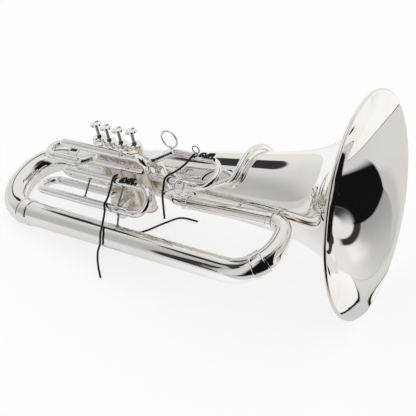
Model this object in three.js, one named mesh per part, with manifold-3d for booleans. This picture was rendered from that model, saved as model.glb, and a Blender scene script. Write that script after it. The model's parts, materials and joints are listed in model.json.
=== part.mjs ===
// A silver-plated tuba with four piston valves across its body, laid down on its back.
// Millimetres, +Z up. The horn is drawn in its own frame and then laid down:
// +X runs along the branches towards the bell, -Y is the front branch's side, +Z is the button side.
import * as THREE from "three";
import { mergeVertices } from "three/addons/utils/BufferGeometryUtils.js";
import Module from "manifold-3d";

const wasm = await Module();
wasm.setup();

// Fits
const fitGap = 0.3;
const shoulderStep = 0.4;
const cutOverrun = 2;

// Facets
const bellSides = 32;
const mainSides = 12;
const valveSides = 12;
const tubeSides = 8;
const cordSides = 8;
const bendStep = THREE.MathUtils.degToRad(30);

// How the horn lies: its body rises towards the bell
const layTilt = THREE.MathUtils.degToRad(11.62);
const layRoll = THREE.MathUtils.degToRad(0.44);

// Bell
const bellLength = 684;
const bellRimRadius = 216;
const bellTailRadius = 29;
const bellConeRadius = 95;
const flareDepth = 45;
const bellWall = 1.2;
const bellTailZ = 35;
const bellRimY = 60;
const bellRimZ = 37.5;
const bellStationShares = [0.012, 0.03, 0.055, 0.09, 0.14, 0.21, 0.29, 0.42, 0.7, 1];
const rimWireRadius = 1.7;
const rimWireSides = 5;
const beadTurnShares = [0.64, 0.28, -0.08, -0.44, -0.8];

// Bottom bow, front branch, top bow and return branch
const branchY = -163;
const bowApexX = -97;
const bowJointX = -17;
const bowRadius = 78;
const bowStartRadius = 29;
const bowEndRadius = 26;
const branchEndRadius = 23.2;
const mainWall = 1.2;
const topBowX = 570;
const topBowFrontBend = 80;
const topBowRearBend = 30;
const topJointShare = 0.55;
const topBowEndRadius = 14;
const returnTopY = -51.5;
const returnEndX = 340;
const returnEndY = -63;
const returnZ = 47;
const returnStartRadius = 13.6;
const returnEndRadius = 12.4;
const ferruleWall = 1.2;
const ferruleReach = 13;
const ferruleBead = 1.1;
const ferruleBeadLength = 3;

// Valves
const valveCount = 4;
const valvePitch = 31;
const valveArcRadius = 200;
const valveRowX = 187.5;
const valveRowY = -56;
const casingRadius = 13.5;
const casingBoreRadius = 11.6;
const casingBottomZ = -5;
const casingTopZ = 150;
const capRadius = 15;
const capSkirt = 9;
const capPlate = 2.8;
const capVentRadius = 2.2;
const feltRadius = 6.6;
const feltTopZ = 159.7;
const stemHoleRadius = 3.6;
const pistonRadius = 11.3;
const pistonWall = 1.5;
const pistonBottomZ = 20;
const pistonTopZ = 125;
const pistonPortRadius = 5.4;
const stemRadius = 3;
const stemHubRadius = 5;
const stemHubZ = 177;
const stemTopZ = 180.7;
const buttonRadius = 12.5;
const buttonBottomZ = 181;
const buttonTopZ = 185;
const buttonEdge = 1;
const buttonDish = 0.6;
const buttonDishRadius = 9;
const stubReach = 4;
const stubWall = 1;

// Valve slides: sleeves, the legs inside them and the bows
const sleeveRadius = 8.4;
const sleeveBoreRadius = 7.5;
const legRadius = 7.2;
const legBoreRadius = 6.4;
const loopSleeveRadius = 7.8;
const loopSleeveBoreRadius = 6.9;
const loopLegRadius = 6.6;
const loopLegBoreRadius = 5.9;
const loopBowRadius = 7.4;
const elbowBend = 10.3;

// Main tuning slide, from the fourth valve to the return branch
const tuningZ = 97;
const tuningFrontY = -75;
const tuningRearY = -25;
const tuningOffsetX = 108;
const tuningRunX = 92;
const tuningOffsetBend = 14;
const tuningApexX = -14;
const tuningBend = 25;
const tuningSleeveEndX = 20;
const tuningLeg = 56;
const tuningTurnX = 262;
const tuningTurnBend = 30;
const tuningDropX = 312;
const tuningDropY = -64.4;
const tuningDropBend = 35;
const tuningInsert = 12;
const tuningEndRadius = 10.7;

// Fourth slide
const fourthInZ = 118;
const fourthOutZ = 113;
const fourthTurnX = 62;
const fourthTurnBend = 20;
const fourthUpperY = -87;
const fourthUpperZ = 149;
const fourthLowerY = -79;
const fourthApexX = 280.4;
const fourthBend = 18.4;
const fourthSleeveEndX = 229;
const fourthLeg = 60;

// Third slide
const thirdInZ = 66;
const thirdOutZ = 40;
const thirdRearY = -84;
const thirdUpperTurnX = 62;
const thirdUpperTurnBend = 12.7;
const thirdUpperY = -97;
const thirdUpperZ = 88;
const thirdApexX = 294;
const thirdBend = 27;
const thirdLowerY = -136;
const thirdLowerZ = 50;
const thirdLowerTurnX = 0;
const thirdLowerTurnBend = 26.4;
const thirdUpperEndX = 205;
const thirdLowerEndX = 215;
const thirdLeg = 65;

// Second slide
const secondLowZ = 6;
const secondHighZ = 32;
const secondApexY = -111;
const secondBend = 12.8;
const secondSleeveEndY = -93;
const secondLeg = 17;

// First slide
const firstInZ = 120;
const firstOutZ = 95;
const firstOffsetX = 266;
const firstOffsetBend = 12;
const firstUpperY = -8;
const firstUpperX = 290;
const firstUpperBend = 16;
const firstApexX = 412;
const firstBend = 31.4;
const firstLowerY = -66;
const firstLowerX = 275;
const firstLowerOffsetX = 263;
const firstLowerBend = 12;
const firstSleeveEndX = 343;
const firstLeg = 42;

// Leadpipe over the bell and the receiver for the mouthpiece
const leadpipeRadius = 6.3;
const leadpipeBoreRadius = 5.4;
const leadpipeValveZ = 66;
const leadpipeFrontY = -80;
const leadpipeCorners = [
  [441, 122, 35, 19],
  [441, 110, 96.5, 80],
  [441, 31, 129.4, 78],
  [441, -22.4, 95, 25],
  [392, -34, 76.5, 60],
  [300, -78, 70, 60],
];
const receiverMouthX = 346;
const receiverLength = 62;
const receiverMouthRadius = 10.2;
const receiverNeckRadius = 8.2;
const receiverMouthBore = 6.2;
const receiverInsert = 24;

// Rings and braces
const ringSides = 5;
const ringSteps = 14;
const fingerRingX = 288;
const fingerRingRadius = 18.6;
const fingerRingWire = 2.1;
const pullRingX = 358;
const pullRingRadius = 15;
const pullRingWire = 1.5;
const pullRingLift = 9;
const cordRingX = 350;
const cordRingRadius = 8;
const cordRingWire = 1.2;
const braceRadius = 1.9;
const braceFootRadius = 3.6;
const braceFootHeight = 2.4;
const leftBraceX = 137;
const rightBraceX = 226;
const branchBraceX = 231;
const bellBraceX = 450;

// Cords: points over the tubes in the horn's frame, then points beside it as [x, y, height on the table]
const cordRadius = 2.1;
const cordStep = 12;
const cordFrontOver = [
  [206, -89.5, 99],
  [205, -97, 100.3],
  [204, -104.5, 97.6],
  [203, -113, 86],
  [200, -123, 71],
  [198, -131, 62],
  [201, -141, 61.6],
  [208, -153, 52],
  [207, -167, 30.5],
  [213, -184, 21.6],
  [213, -192.8, 2],
];
const cordFrontDown = [
  [201, -193.5, 56],
  [198, -194, 36],
  [200, -197, 16],
  [207, -203, 5],
  [216, -211, 2.4],
];
const cordFloorDown = [
  [190, -74, 2.4],
  [209, -48, 2.4],
  [228.6, -5.3, 2.4],
  [248.5, 27.1, 2.4],
  [286, 38.1, 2.4],
];
const cordTailOver = [
  [352, -14.5, 132],
  [345, -21, 125],
  [337, -32, 116],
  [329, -45, 110],
  [322, -57, 107.6],
  [317, -66, 106.8],
  [315, -75, 104],
  [314, -82, 92],
  [311, -86, 78],
  [308, -86.6, 66],
  [303, -86.6, 36],
  [299, -86.6, 11],
];

const silver = { color: 0xe9e8e6, roughness: 0.12, metalness: 1 };
const satinSilver = { color: 0xd6d8da, roughness: 0.4, metalness: 1 };
const steel = { color: 0x8f9092, roughness: 0.35, metalness: 1 };
const blackCord = { color: 0x0b0b0c, roughness: 0.85, metalness: 0 };

function namedMesh(name, geometry, finish) {
  const mesh = new THREE.Mesh(geometry, new THREE.MeshStandardMaterial(finish));
  mesh.name = name;
  return mesh;
}

// One closed surface: doubled points become one, and faces of no area go
function closeSurface(geometry) {
  const bare = new THREE.BufferGeometry();
  bare.setAttribute("position", geometry.attributes.position);
  if (geometry.index) bare.setIndex(geometry.index);
  const merged = mergeVertices(bare);
  const index = merged.index.array;
  const kept = [];
  for (let i = 0; i < index.length; i += 3) {
    const [a, b, c] = [index[i], index[i + 1], index[i + 2]];
    if (a !== b && b !== c && c !== a) kept.push(a, b, c);
  }
  merged.setIndex(kept);
  merged.computeVertexNormals();
  return merged;
}

// Closed geometry to a solid and back, for joins and cuts
function toSolid(geometry) {
  const closed = closeSurface(geometry);
  const mesh = new wasm.Mesh({
    numProp: 3,
    vertProperties: new Float32Array(closed.attributes.position.array),
    triVerts: new Uint32Array(closed.index.array),
  });
  return new wasm.Manifold(mesh);
}

function toGeometry(solid) {
  const mesh = solid.getMesh();
  const geometry = new THREE.BufferGeometry();
  geometry.setAttribute("position", new THREE.BufferAttribute(mesh.vertProperties, 3));
  geometry.setIndex(new THREE.BufferAttribute(mesh.triVerts, 1));
  geometry.computeVertexNormals();
  return geometry;
}

function joinAndCut(joined, tools) {
  const whole = joined.map(toSolid).reduce((sum, next) => sum.add(next));
  return toGeometry(tools.map(toSolid).reduce((rest, tool) => rest.subtract(tool), whole));
}

// A route through corners [x, y, z, bend radius]: rings on its straights' ends and round its bends,
// and for each corner the distances along the route where its bend starts and ends
function makeRoute(corners) {
  const points = corners.map(([x, y, z]) => new THREE.Vector3(x, y, z));
  const ways = points.slice(1).map((point, i) => point.clone().sub(points[i]).normalize());
  const rings = [];
  const spans = points.map((point, i) => {
    const before = ways[Math.max(i - 1, 0)];
    const after = ways[Math.min(i, ways.length - 1)];
    const first = rings.length;
    rings.push(...cornerRings(point, before, after, corners[i][3]));
    return [first, rings.length - 1];
  });
  measureRings(rings);
  const marks = spans.map(([first, last]) => ({ start: rings[first].distance, end: rings[last].distance }));
  return { rings, marks, length: rings[rings.length - 1].distance };
}

function cornerRings(point, before, after, bend) {
  const turn = before.angleTo(after);
  if (!bend || turn === 0) return [{ point: point.clone(), tangent: before.clone() }];
  const axis = before.clone().cross(after).normalize();
  const inward = axis.clone().cross(before);
  const start = point.clone().addScaledVector(before, -bend * Math.tan(turn / 2));
  const centre = start.addScaledVector(inward, bend);
  const steps = Math.max(2, Math.ceil(turn / bendStep));
  return Array.from({ length: steps + 1 }, (_, k) => {
    const angle = (turn * k) / steps;
    const arm = inward.clone().negate().applyAxisAngle(axis, angle);
    return {
      point: centre.clone().addScaledVector(arm, bend),
      tangent: before.clone().applyAxisAngle(axis, angle),
    };
  });
}

// Distances along the route, and side directions that turn as little as they can
function measureRings(rings) {
  const first = rings[0].tangent;
  const upright = Math.abs(first.z) < 0.9;
  const helper = new THREE.Vector3(0, upright ? 0 : 1, upright ? 1 : 0);
  let side = helper.cross(first).normalize();
  rings.forEach((ring, i) => {
    side = side.clone().addScaledVector(ring.tangent, -side.dot(ring.tangent)).normalize();
    ring.side = side;
    ring.distance = i === 0 ? 0 : rings[i - 1].distance + ring.point.distanceTo(rings[i - 1].point);
  });
}

function ringAt(route, distance) {
  const { rings } = route;
  let i = 0;
  while (i < rings.length - 2 && rings[i + 1].distance < distance) i++;
  const [from, to] = [rings[i], rings[i + 1]];
  const share = (distance - from.distance) / (to.distance - from.distance);
  const turnShare = Math.min(Math.max(share, 0), 1);
  return {
    point: from.point.clone().lerp(to.point, share),
    tangent: from.tangent.clone().lerp(to.tangent, turnShare).normalize(),
    side: from.side.clone().lerp(to.side, turnShare).normalize(),
  };
}

function sizeAt(stations, distance) {
  let i = 0;
  while (i < stations.length - 2 && stations[i + 1][0] < distance) i++;
  const [from, to] = [stations[i], stations[i + 1]];
  const share = (distance - from[0]) / (to[0] - from[0]);
  return [from[1] + (to[1] - from[1]) * share, from[2] + (to[2] - from[2]) * share];
}

function unitPoints(radius, sides) {
  return Array.from({ length: sides }, (_, i) => {
    const angle = (2 * Math.PI * i) / sides;
    return new THREE.Vector2(radius * Math.cos(angle), radius * Math.sin(angle));
  });
}

// A tube along a route between stations [distance, outer radius, bore radius]: a unit ring is extruded
// straight with one layer per ring, and each layer then takes its ring's place. Bore 0 makes a rod.
function sweepTube(route, stations, sides) {
  const outerShare = 1;
  const boreShare = 0.5;
  const ends = [stations[0][0], stations[stations.length - 1][0]];
  const places = stations.map(([distance]) => distance);
  route.rings.forEach(({ distance }) => {
    const clear = places.every((place) => Math.abs(place - distance) > shoulderStep / 2);
    if (clear && distance > ends[0] && distance < ends[1]) places.push(distance);
  });
  places.sort((a, b) => a - b);
  const shape = new THREE.Shape(unitPoints(outerShare, sides));
  if (stations[0][2] > 0) shape.holes.push(new THREE.Path(unitPoints(boreShare, sides)));
  const layers = places.length - 1;
  const geometry = new THREE.ExtrudeGeometry(shape, { depth: 1, steps: layers, bevelEnabled: false });
  const position = geometry.attributes.position;
  const rings = places.map((place) => ringAt(route, place));
  const sizes = places.map((place) => sizeAt(stations, place));
  const vertex = new THREE.Vector3();
  for (let i = 0; i < position.count; i++) {
    vertex.fromBufferAttribute(position, i);
    const layer = Math.round(vertex.z * layers);
    const { point, tangent, side } = rings[layer];
    const reach = Math.hypot(vertex.x, vertex.y);
    const radius = sizes[layer][reach > (outerShare + boreShare) / 2 ? 0 : 1];
    const place = point
      .clone()
      .addScaledVector(side, (radius * vertex.x) / reach)
      .addScaledVector(tangent.clone().cross(side), (radius * vertex.y) / reach);
    position.setXYZ(i, place.x, place.y, place.z);
  }
  return closeSurface(geometry);
}

function makeRod(from, to, radius, sides) {
  const route = makeRoute([from, to]);
  return sweepTube(route, [[0, radius, 0], [route.length, radius, 0]], sides);
}

// A closed outline of [radius, height] points turned about Z
function revolve(outline, sides) {
  const area = outline.reduce((sum, [radius, height], i) => {
    const [nextRadius, nextHeight] = outline[(i + 1) % outline.length];
    return sum + radius * nextHeight - nextRadius * height;
  }, 0);
  const ordered = area > 0 ? outline : [...outline].reverse();
  const points = ordered.map(([radius, height]) => new THREE.Vector2(radius, height));
  if (points.some(({ x }) => x === 0)) {
    while (points[0].x > 0 || points[points.length - 1].x > 0) points.push(points.shift());
  } else {
    points.push(points[0].clone());
  }
  const geometry = new THREE.LatheGeometry(points, sides);
  geometry.rotateX(Math.PI / 2);
  return closeSurface(geometry);
}

// The bell's axis, from its tail joint to the middle of its rim
const bellTail = new THREE.Vector3(0, 0, bellTailZ);
const bellAxis = new THREE.Vector3(
  Math.sqrt(bellLength ** 2 - bellRimY ** 2 - (bellRimZ - bellTailZ) ** 2),
  bellRimY,
  bellRimZ - bellTailZ,
).normalize();

function onBellAxis(distance) {
  return bellTail.clone().addScaledVector(bellAxis, distance).toArray();
}

function bellRadiusAt(fromRimShare) {
  const cone = bellTailRadius + (bellConeRadius - bellTailRadius) * (1 - fromRimShare);
  const flare = (bellRimRadius - bellConeRadius) * Math.exp((-fromRimShare * bellLength) / flareDepth);
  return cone + flare;
}

// Cone, flare and a bead that is rolled round the rim wire, turned as one shell
function makeBell() {
  const beadStepShare = beadTurnShares[0] - beadTurnShares[1];
  const beadInner = (rimWireRadius + fitGap) / Math.cos((beadStepShare * Math.PI) / 2);
  const beadOuter = beadInner + bellWall;
  const beadMiddle = bellRimRadius - beadOuter;
  const beadHeight = bellLength - beadOuter;
  const beadPoint = (radius, share) => [
    beadMiddle + radius * Math.cos(share * Math.PI),
    beadHeight + radius * Math.sin(share * Math.PI),
  ];
  const outside = bellStationShares.map((share) => [bellRadiusAt(share), (1 - share) * bellLength]);
  const inside = outside.map(([radius, height]) => [radius - bellWall, height]);
  const shell = revolve(
    [
      ...beadTurnShares.map((share) => beadPoint(beadOuter, share)),
      ...[...beadTurnShares].reverse().map((share) => beadPoint(beadInner, share)),
      ...outside,
      ...inside.reverse(),
    ],
    bellSides,
  );
  const wire = new THREE.TorusGeometry(beadMiddle, rimWireRadius, rimWireSides, bellSides);
  wire.translate(0, 0, beadHeight);
  const group = new THREE.Group();
  group.add(namedMesh("bell", shell, silver), namedMesh("bell_rim_wire", closeSurface(wire), silver));
  group.position.copy(bellTail);
  group.quaternion.setFromUnitVectors(new THREE.Vector3(0, 0, 1), bellAxis);
  return group;
}

// A sleeve over a joint, with a bead at each end; its bores are fitted to the two tubes
function makeFerrule(route, joint, reach, beforeRadius, afterRadius) {
  const outer = Math.max(beforeRadius, afterRadius) + fitGap + ferruleWall;
  const before = beforeRadius + fitGap;
  const after = afterRadius + fitGap;
  const bead = outer + ferruleBead;
  const inset = ferruleBeadLength;
  const boreStep = [
    [joint - shoulderStep / 2, outer, before],
    [joint + shoulderStep / 2, outer, after],
  ];
  const stations = [
    [joint - reach, bead, before],
    [joint - reach + inset, bead, before],
    [joint - reach + inset + shoulderStep, outer, before],
    ...(before === after ? [] : boreStep),
    [joint + reach - inset - shoulderStep, outer, after],
    [joint + reach - inset, bead, after],
    [joint + reach, bead, after],
  ];
  return sweepTube(route, stations, mainSides);
}

// From the bell's tail round the bottom bow, along the front branch, round the top bow and back
function makeMainTubing() {
  const group = new THREE.Group();
  const bowCorner = onBellAxis(bowApexX / bellAxis.x);
  const route = makeRoute([
    onBellAxis(ferruleReach),
    onBellAxis(0),
    [...bowCorner, bowRadius],
    [bowApexX, branchY, 0, bowRadius],
    [bowJointX, branchY, 0],
    [topBowX, branchY, 0, topBowFrontBend],
    [topBowX, returnTopY, returnZ, topBowRearBend],
    [returnEndX, returnEndY, returnZ],
  ]);
  const tailJoint = route.marks[1].start;
  const branchJoint = route.marks[4].start;
  const topBend = route.marks[5];
  const topJoint = topBend.start + (topBend.end - topBend.start) * topJointShare;
  const returnJoint = route.marks[6].end;
  const tube = (name, from, fromRadius, to, toRadius) => {
    const stations = [
      [from + fitGap / 2, fromRadius, fromRadius - mainWall],
      [to - fitGap / 2, toRadius, toRadius - mainWall],
    ];
    group.add(namedMesh(name, sweepTube(route, stations, mainSides), silver));
  };
  tube("bottom_bow", tailJoint, bowStartRadius, branchJoint, bowEndRadius);
  tube("front_branch", branchJoint, bowEndRadius, topJoint, branchEndRadius);
  tube("top_bow", topJoint, branchEndRadius, returnJoint, topBowEndRadius);
  const bellFit = bellTailRadius + ((bellConeRadius - bellTailRadius) * ferruleReach) / bellLength;
  const bellSideRadius = bellFit / Math.cos(Math.PI / mainSides);
  const ferrules = [
    ["bell_tail_ferrule", tailJoint, bellSideRadius, bowStartRadius],
    ["branch_ferrule", branchJoint, bowEndRadius, bowEndRadius],
    ["top_bow_ferrule", topJoint, branchEndRadius, branchEndRadius],
  ];
  ferrules.forEach(([name, joint, before, after]) => {
    group.add(namedMesh(name, makeFerrule(route, joint, ferruleReach, before, after), satinSilver));
  });
  const collar = ferruleWall + fitGap;
  const returnBore = (radius) => radius - mainWall;
  const returnStations = [
    [returnJoint + fitGap / 2, returnStartRadius + collar, returnBore(returnStartRadius)],
    [returnJoint + ferruleReach, returnStartRadius + collar, returnBore(returnStartRadius)],
    [returnJoint + ferruleReach + shoulderStep, returnStartRadius, returnBore(returnStartRadius)],
    [route.length - ferruleReach - shoulderStep, returnEndRadius, returnBore(returnEndRadius)],
    [route.length - ferruleReach, returnEndRadius + collar, returnBore(returnEndRadius)],
    [route.length, returnEndRadius + collar, returnBore(returnEndRadius)],
  ];
  group.add(namedMesh("return_branch", sweepTube(route, returnStations, mainSides), silver));
  return group;
}

// Valve 1 is the one nearest the bell; the row lies on a gentle arc
const valvePlaces = Array.from({ length: valveCount }, (_, i) => {
  const angle = ((valveCount - 1) / 2 - i) * (valvePitch / valveArcRadius);
  return {
    x: valveRowX + valveArcRadius * Math.sin(angle),
    y: valveRowY + valveArcRadius * (1 - Math.cos(angle)),
  };
});

const towardsBow = [-1, 0];
const towardsBell = [1, 0];
const towardsFront = [0, -1];

// The short tubes on each casing: direction, height, radius of the tube that they meet, and bore
const valveStubs = [
  [
    [towardsBell, firstInZ, loopSleeveRadius, loopLegBoreRadius],
    [towardsBell, firstOutZ, loopSleeveRadius, loopLegBoreRadius],
    [towardsFront, leadpipeValveZ, leadpipeRadius, leadpipeBoreRadius],
  ],
  [
    [towardsFront, secondLowZ, sleeveRadius, legBoreRadius],
    [towardsFront, secondHighZ, sleeveRadius, legBoreRadius],
  ],
  [
    [towardsFront, thirdInZ, sleeveRadius, legBoreRadius],
    [towardsFront, thirdOutZ, sleeveRadius, legBoreRadius],
  ],
  [
    [towardsBow, tuningZ, sleeveRadius, legBoreRadius],
    [towardsBow, fourthInZ, sleeveRadius, legBoreRadius],
    [towardsFront, fourthOutZ, sleeveRadius, legBoreRadius],
  ],
];

// The place where a tube meets a stub of valve i
function stubEnd(i, [wayX, wayY], height) {
  const reach = casingRadius + stubReach + fitGap;
  return [valvePlaces[i].x + wayX * reach, valvePlaces[i].y + wayY * reach, height];
}

function clearCylinder({ x, y }, radius) {
  const outline = [
    [0, casingBottomZ - cutOverrun],
    [radius, casingBottomZ - cutOverrun],
    [radius, casingTopZ + cutOverrun],
    [0, casingTopZ + cutOverrun],
  ];
  return revolve(outline, valveSides).translate(x, y, 0);
}

// A casing with its bore, its stubs and the short airway to the next casing
function makeCasing(i) {
  const { x, y } = valvePlaces[i];
  const middle = [x, y, tuningZ];
  const outline = [
    [casingRadius, casingBottomZ],
    [casingRadius, casingTopZ],
    [0, casingTopZ],
    [0, casingBottomZ],
  ];
  const joined = [revolve(outline, valveSides).translate(x, y, 0)];
  const tools = [clearCylinder(valvePlaces[i], casingBoreRadius)];
  valveStubs[i].forEach(([way, height, radius, bore]) => {
    const [from, end] = [[x, y, height], stubEnd(i, way, height)];
    const short = [end[0] - way[0] * fitGap, end[1] - way[1] * fitGap, height];
    joined.push(makeRod(from, short, radius + stubWall, tubeSides));
    tools.push(makeRod(from, end, bore, tubeSides));
  });
  [i - 1, i + 1].filter((k) => valvePlaces[k]).forEach((k) => {
    const to = [valvePlaces[k].x, valvePlaces[k].y, tuningZ];
    tools.push(makeRod(middle, to, legBoreRadius, tubeSides));
    if (k < i) return;
    joined.push(makeRod(middle, to, legRadius, tubeSides));
    tools.push(clearCylinder(valvePlaces[k], casingRadius + fitGap));
  });
  return joinAndCut(joined, tools);
}

function makeTopCap() {
  const skirtRadius = casingRadius + fitGap;
  const plateBottom = casingTopZ + fitGap;
  const plateTop = plateBottom + capPlate;
  return revolve(
    [
      [capRadius, casingTopZ - capSkirt],
      [capRadius, plateTop],
      [feltRadius, plateTop],
      [feltRadius, feltTopZ],
      [stemHoleRadius, feltTopZ],
      [stemHoleRadius, plateBottom],
      [skirtRadius, plateBottom],
      [skirtRadius, casingTopZ - capSkirt],
    ],
    valveSides,
  );
}

function makeBottomCap() {
  const skirtRadius = casingRadius + fitGap;
  const plateTop = casingBottomZ - fitGap;
  const plateBottom = plateTop - capPlate;
  return revolve(
    [
      [capVentRadius, plateBottom],
      [capRadius, plateBottom],
      [capRadius, casingBottomZ],
      [skirtRadius, casingBottomZ],
      [skirtRadius, plateTop],
      [capVentRadius, plateTop],
    ],
    valveSides,
  );
}

// A hollow piston, closed on top, with a port right through it along the row
function makePiston({ x, y }) {
  const inner = pistonRadius - pistonWall;
  const shell = revolve(
    [
      [pistonRadius, pistonBottomZ],
      [pistonRadius, pistonTopZ],
      [0, pistonTopZ],
      [0, pistonTopZ - 2 * pistonWall],
      [inner, pistonTopZ - 2 * pistonWall],
      [inner, pistonBottomZ],
    ],
    valveSides,
  ).translate(x, y, 0);
  const reach = pistonRadius + cutOverrun;
  const port = makeRod([x - reach, y, tuningZ], [x + reach, y, tuningZ], pistonPortRadius, tubeSides);
  return joinAndCut([shell], [port]);
}

function makeStem() {
  return revolve(
    [
      [0, pistonTopZ + fitGap],
      [stemRadius, pistonTopZ + fitGap],
      [stemRadius, stemHubZ],
      [stemHubRadius, stemHubZ],
      [stemHubRadius, stemTopZ],
      [0, stemTopZ],
    ],
    tubeSides,
  );
}

function makeButton() {
  return revolve(
    [
      [0, buttonBottomZ],
      [buttonRadius - buttonEdge, buttonBottomZ],
      [buttonRadius, buttonBottomZ + buttonEdge],
      [buttonRadius, buttonTopZ - buttonEdge],
      [buttonRadius - buttonEdge, buttonTopZ],
      [buttonDishRadius, buttonTopZ - buttonDish],
      [0, buttonTopZ - buttonDish],
    ],
    valveSides,
  );
}

function makeValves() {
  const group = new THREE.Group();
  valvePlaces.forEach((place, i) => {
    const add = (base, geometry, finish) => group.add(namedMesh(`${base}_${i + 1}`, geometry, finish));
    add("valve_casing", makeCasing(i), satinSilver);
    add("top_cap", makeTopCap().translate(place.x, place.y, 0), silver);
    add("bottom_cap", makeBottomCap().translate(place.x, place.y, 0), silver);
    add("piston", makePiston(place), steel);
    add("valve_stem", makeStem().translate(place.x, place.y, 0), steel);
    add("finger_button", makeButton().translate(place.x, place.y, 0), silver);
  });
  return group;
}

const plainTube = {
  outer: sleeveRadius,
  bore: sleeveBoreRadius,
  leg: legRadius,
  legBore: legBoreRadius,
  bow: sleeveRadius,
};
const loopTube = {
  outer: loopSleeveRadius,
  bore: loopSleeveBoreRadius,
  leg: loopLegRadius,
  legBore: loopLegBoreRadius,
  bow: loopBowRadius,
};

// The bow with its two legs, which reach into the sleeves that end at the two distances
function makeCrook(route, upperEnd, lowerEnd, legLength, tube) {
  const stations = [
    [upperEnd - legLength, tube.leg, tube.legBore],
    [upperEnd + fitGap, tube.leg, tube.legBore],
    [upperEnd + fitGap + shoulderStep, tube.bow, tube.legBore],
    [lowerEnd - fitGap - shoulderStep, tube.bow, tube.legBore],
    [lowerEnd - fitGap, tube.leg, tube.legBore],
    [lowerEnd + legLength, tube.leg, tube.legBore],
  ];
  return sweepTube(route, stations, tubeSides);
}

// Two sleeves on the valve and the bow that slides in them
function makeSlide(number, corners, [upperMark, lowerMark], legLength, tube) {
  const route = makeRoute(corners);
  const upperEnd = route.marks[upperMark].start;
  const lowerEnd = route.marks[lowerMark].start;
  const sleeve = (from, to) => {
    return sweepTube(route, [[from, tube.outer, tube.bore], [to, tube.outer, tube.bore]], tubeSides);
  };
  const group = new THREE.Group();
  group.add(
    namedMesh(`slide_${number}_upper_tube`, sleeve(0, upperEnd), silver),
    namedMesh(`slide_${number}_lower_tube`, sleeve(lowerEnd, route.length), silver),
    namedMesh(`slide_${number}_crook`, makeCrook(route, upperEnd, lowerEnd, legLength, tube), silver),
  );
  return group;
}

function makeSlides() {
  const first = stubEnd(0, towardsBell, firstInZ);
  const firstCorners = [
    first,
    [firstOffsetX, first[1], firstInZ, firstOffsetBend],
    [firstUpperX, firstUpperY, firstInZ, firstUpperBend],
    [firstSleeveEndX, firstUpperY, firstInZ],
    [firstApexX, firstUpperY, firstInZ, firstBend],
    [firstApexX, firstLowerY, firstOutZ, firstBend],
    [firstSleeveEndX, firstLowerY, firstOutZ],
    [firstLowerX, firstLowerY, firstOutZ, firstLowerBend],
    [firstLowerOffsetX, first[1], firstOutZ, firstLowerBend],
    stubEnd(0, towardsBell, firstOutZ),
  ];
  const second = stubEnd(1, towardsFront, secondLowZ);
  const secondCorners = [
    second,
    [second[0], secondSleeveEndY, secondLowZ],
    [second[0], secondApexY, secondLowZ, secondBend],
    [second[0], secondApexY, secondHighZ, secondBend],
    [second[0], secondSleeveEndY, secondHighZ],
    stubEnd(1, towardsFront, secondHighZ),
  ];
  const third = stubEnd(2, towardsFront, thirdInZ);
  const thirdCorners = [
    third,
    [third[0], thirdRearY, thirdInZ, elbowBend],
    [thirdUpperTurnX, thirdRearY, thirdInZ, thirdUpperTurnBend],
    [thirdUpperTurnX, thirdUpperY, thirdUpperZ, thirdUpperTurnBend],
    [thirdUpperEndX, thirdUpperY, thirdUpperZ],
    [thirdApexX, thirdUpperY, thirdUpperZ, thirdBend],
    [thirdApexX, thirdLowerY, thirdLowerZ, thirdBend],
    [thirdLowerEndX, thirdLowerY, thirdLowerZ],
    [thirdLowerTurnX, thirdLowerY, thirdLowerZ, thirdLowerTurnBend],
    [thirdLowerTurnX, thirdRearY, thirdOutZ, thirdLowerTurnBend],
    [third[0], thirdRearY, thirdOutZ, elbowBend],
    stubEnd(2, towardsFront, thirdOutZ),
  ];
  const fourth = stubEnd(3, towardsBow, fourthInZ);
  const fourthCorners = [
    fourth,
    [fourthTurnX, fourth[1], fourthInZ, fourthTurnBend],
    [fourthTurnX, fourthUpperY, fourthUpperZ, fourthTurnBend],
    [fourthSleeveEndX, fourthUpperY, fourthUpperZ],
    [fourthApexX, fourthUpperY, fourthUpperZ, fourthBend],
    [fourthApexX, fourthLowerY, fourthOutZ, fourthBend],
    [fourthSleeveEndX, fourthLowerY, fourthOutZ],
    [valvePlaces[3].x, fourthLowerY, fourthOutZ, elbowBend],
    stubEnd(3, towardsFront, fourthOutZ),
  ];
  return [
    makeSlide(1, firstCorners, [3, 6], firstLeg, loopTube),
    makeSlide(2, secondCorners, [1, 4], secondLeg, plainTube),
    makeSlide(3, thirdCorners, [4, 7], thirdLeg, plainTube),
    makeSlide(4, fourthCorners, [3, 6], fourthLeg, plainTube),
  ];
}

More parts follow.
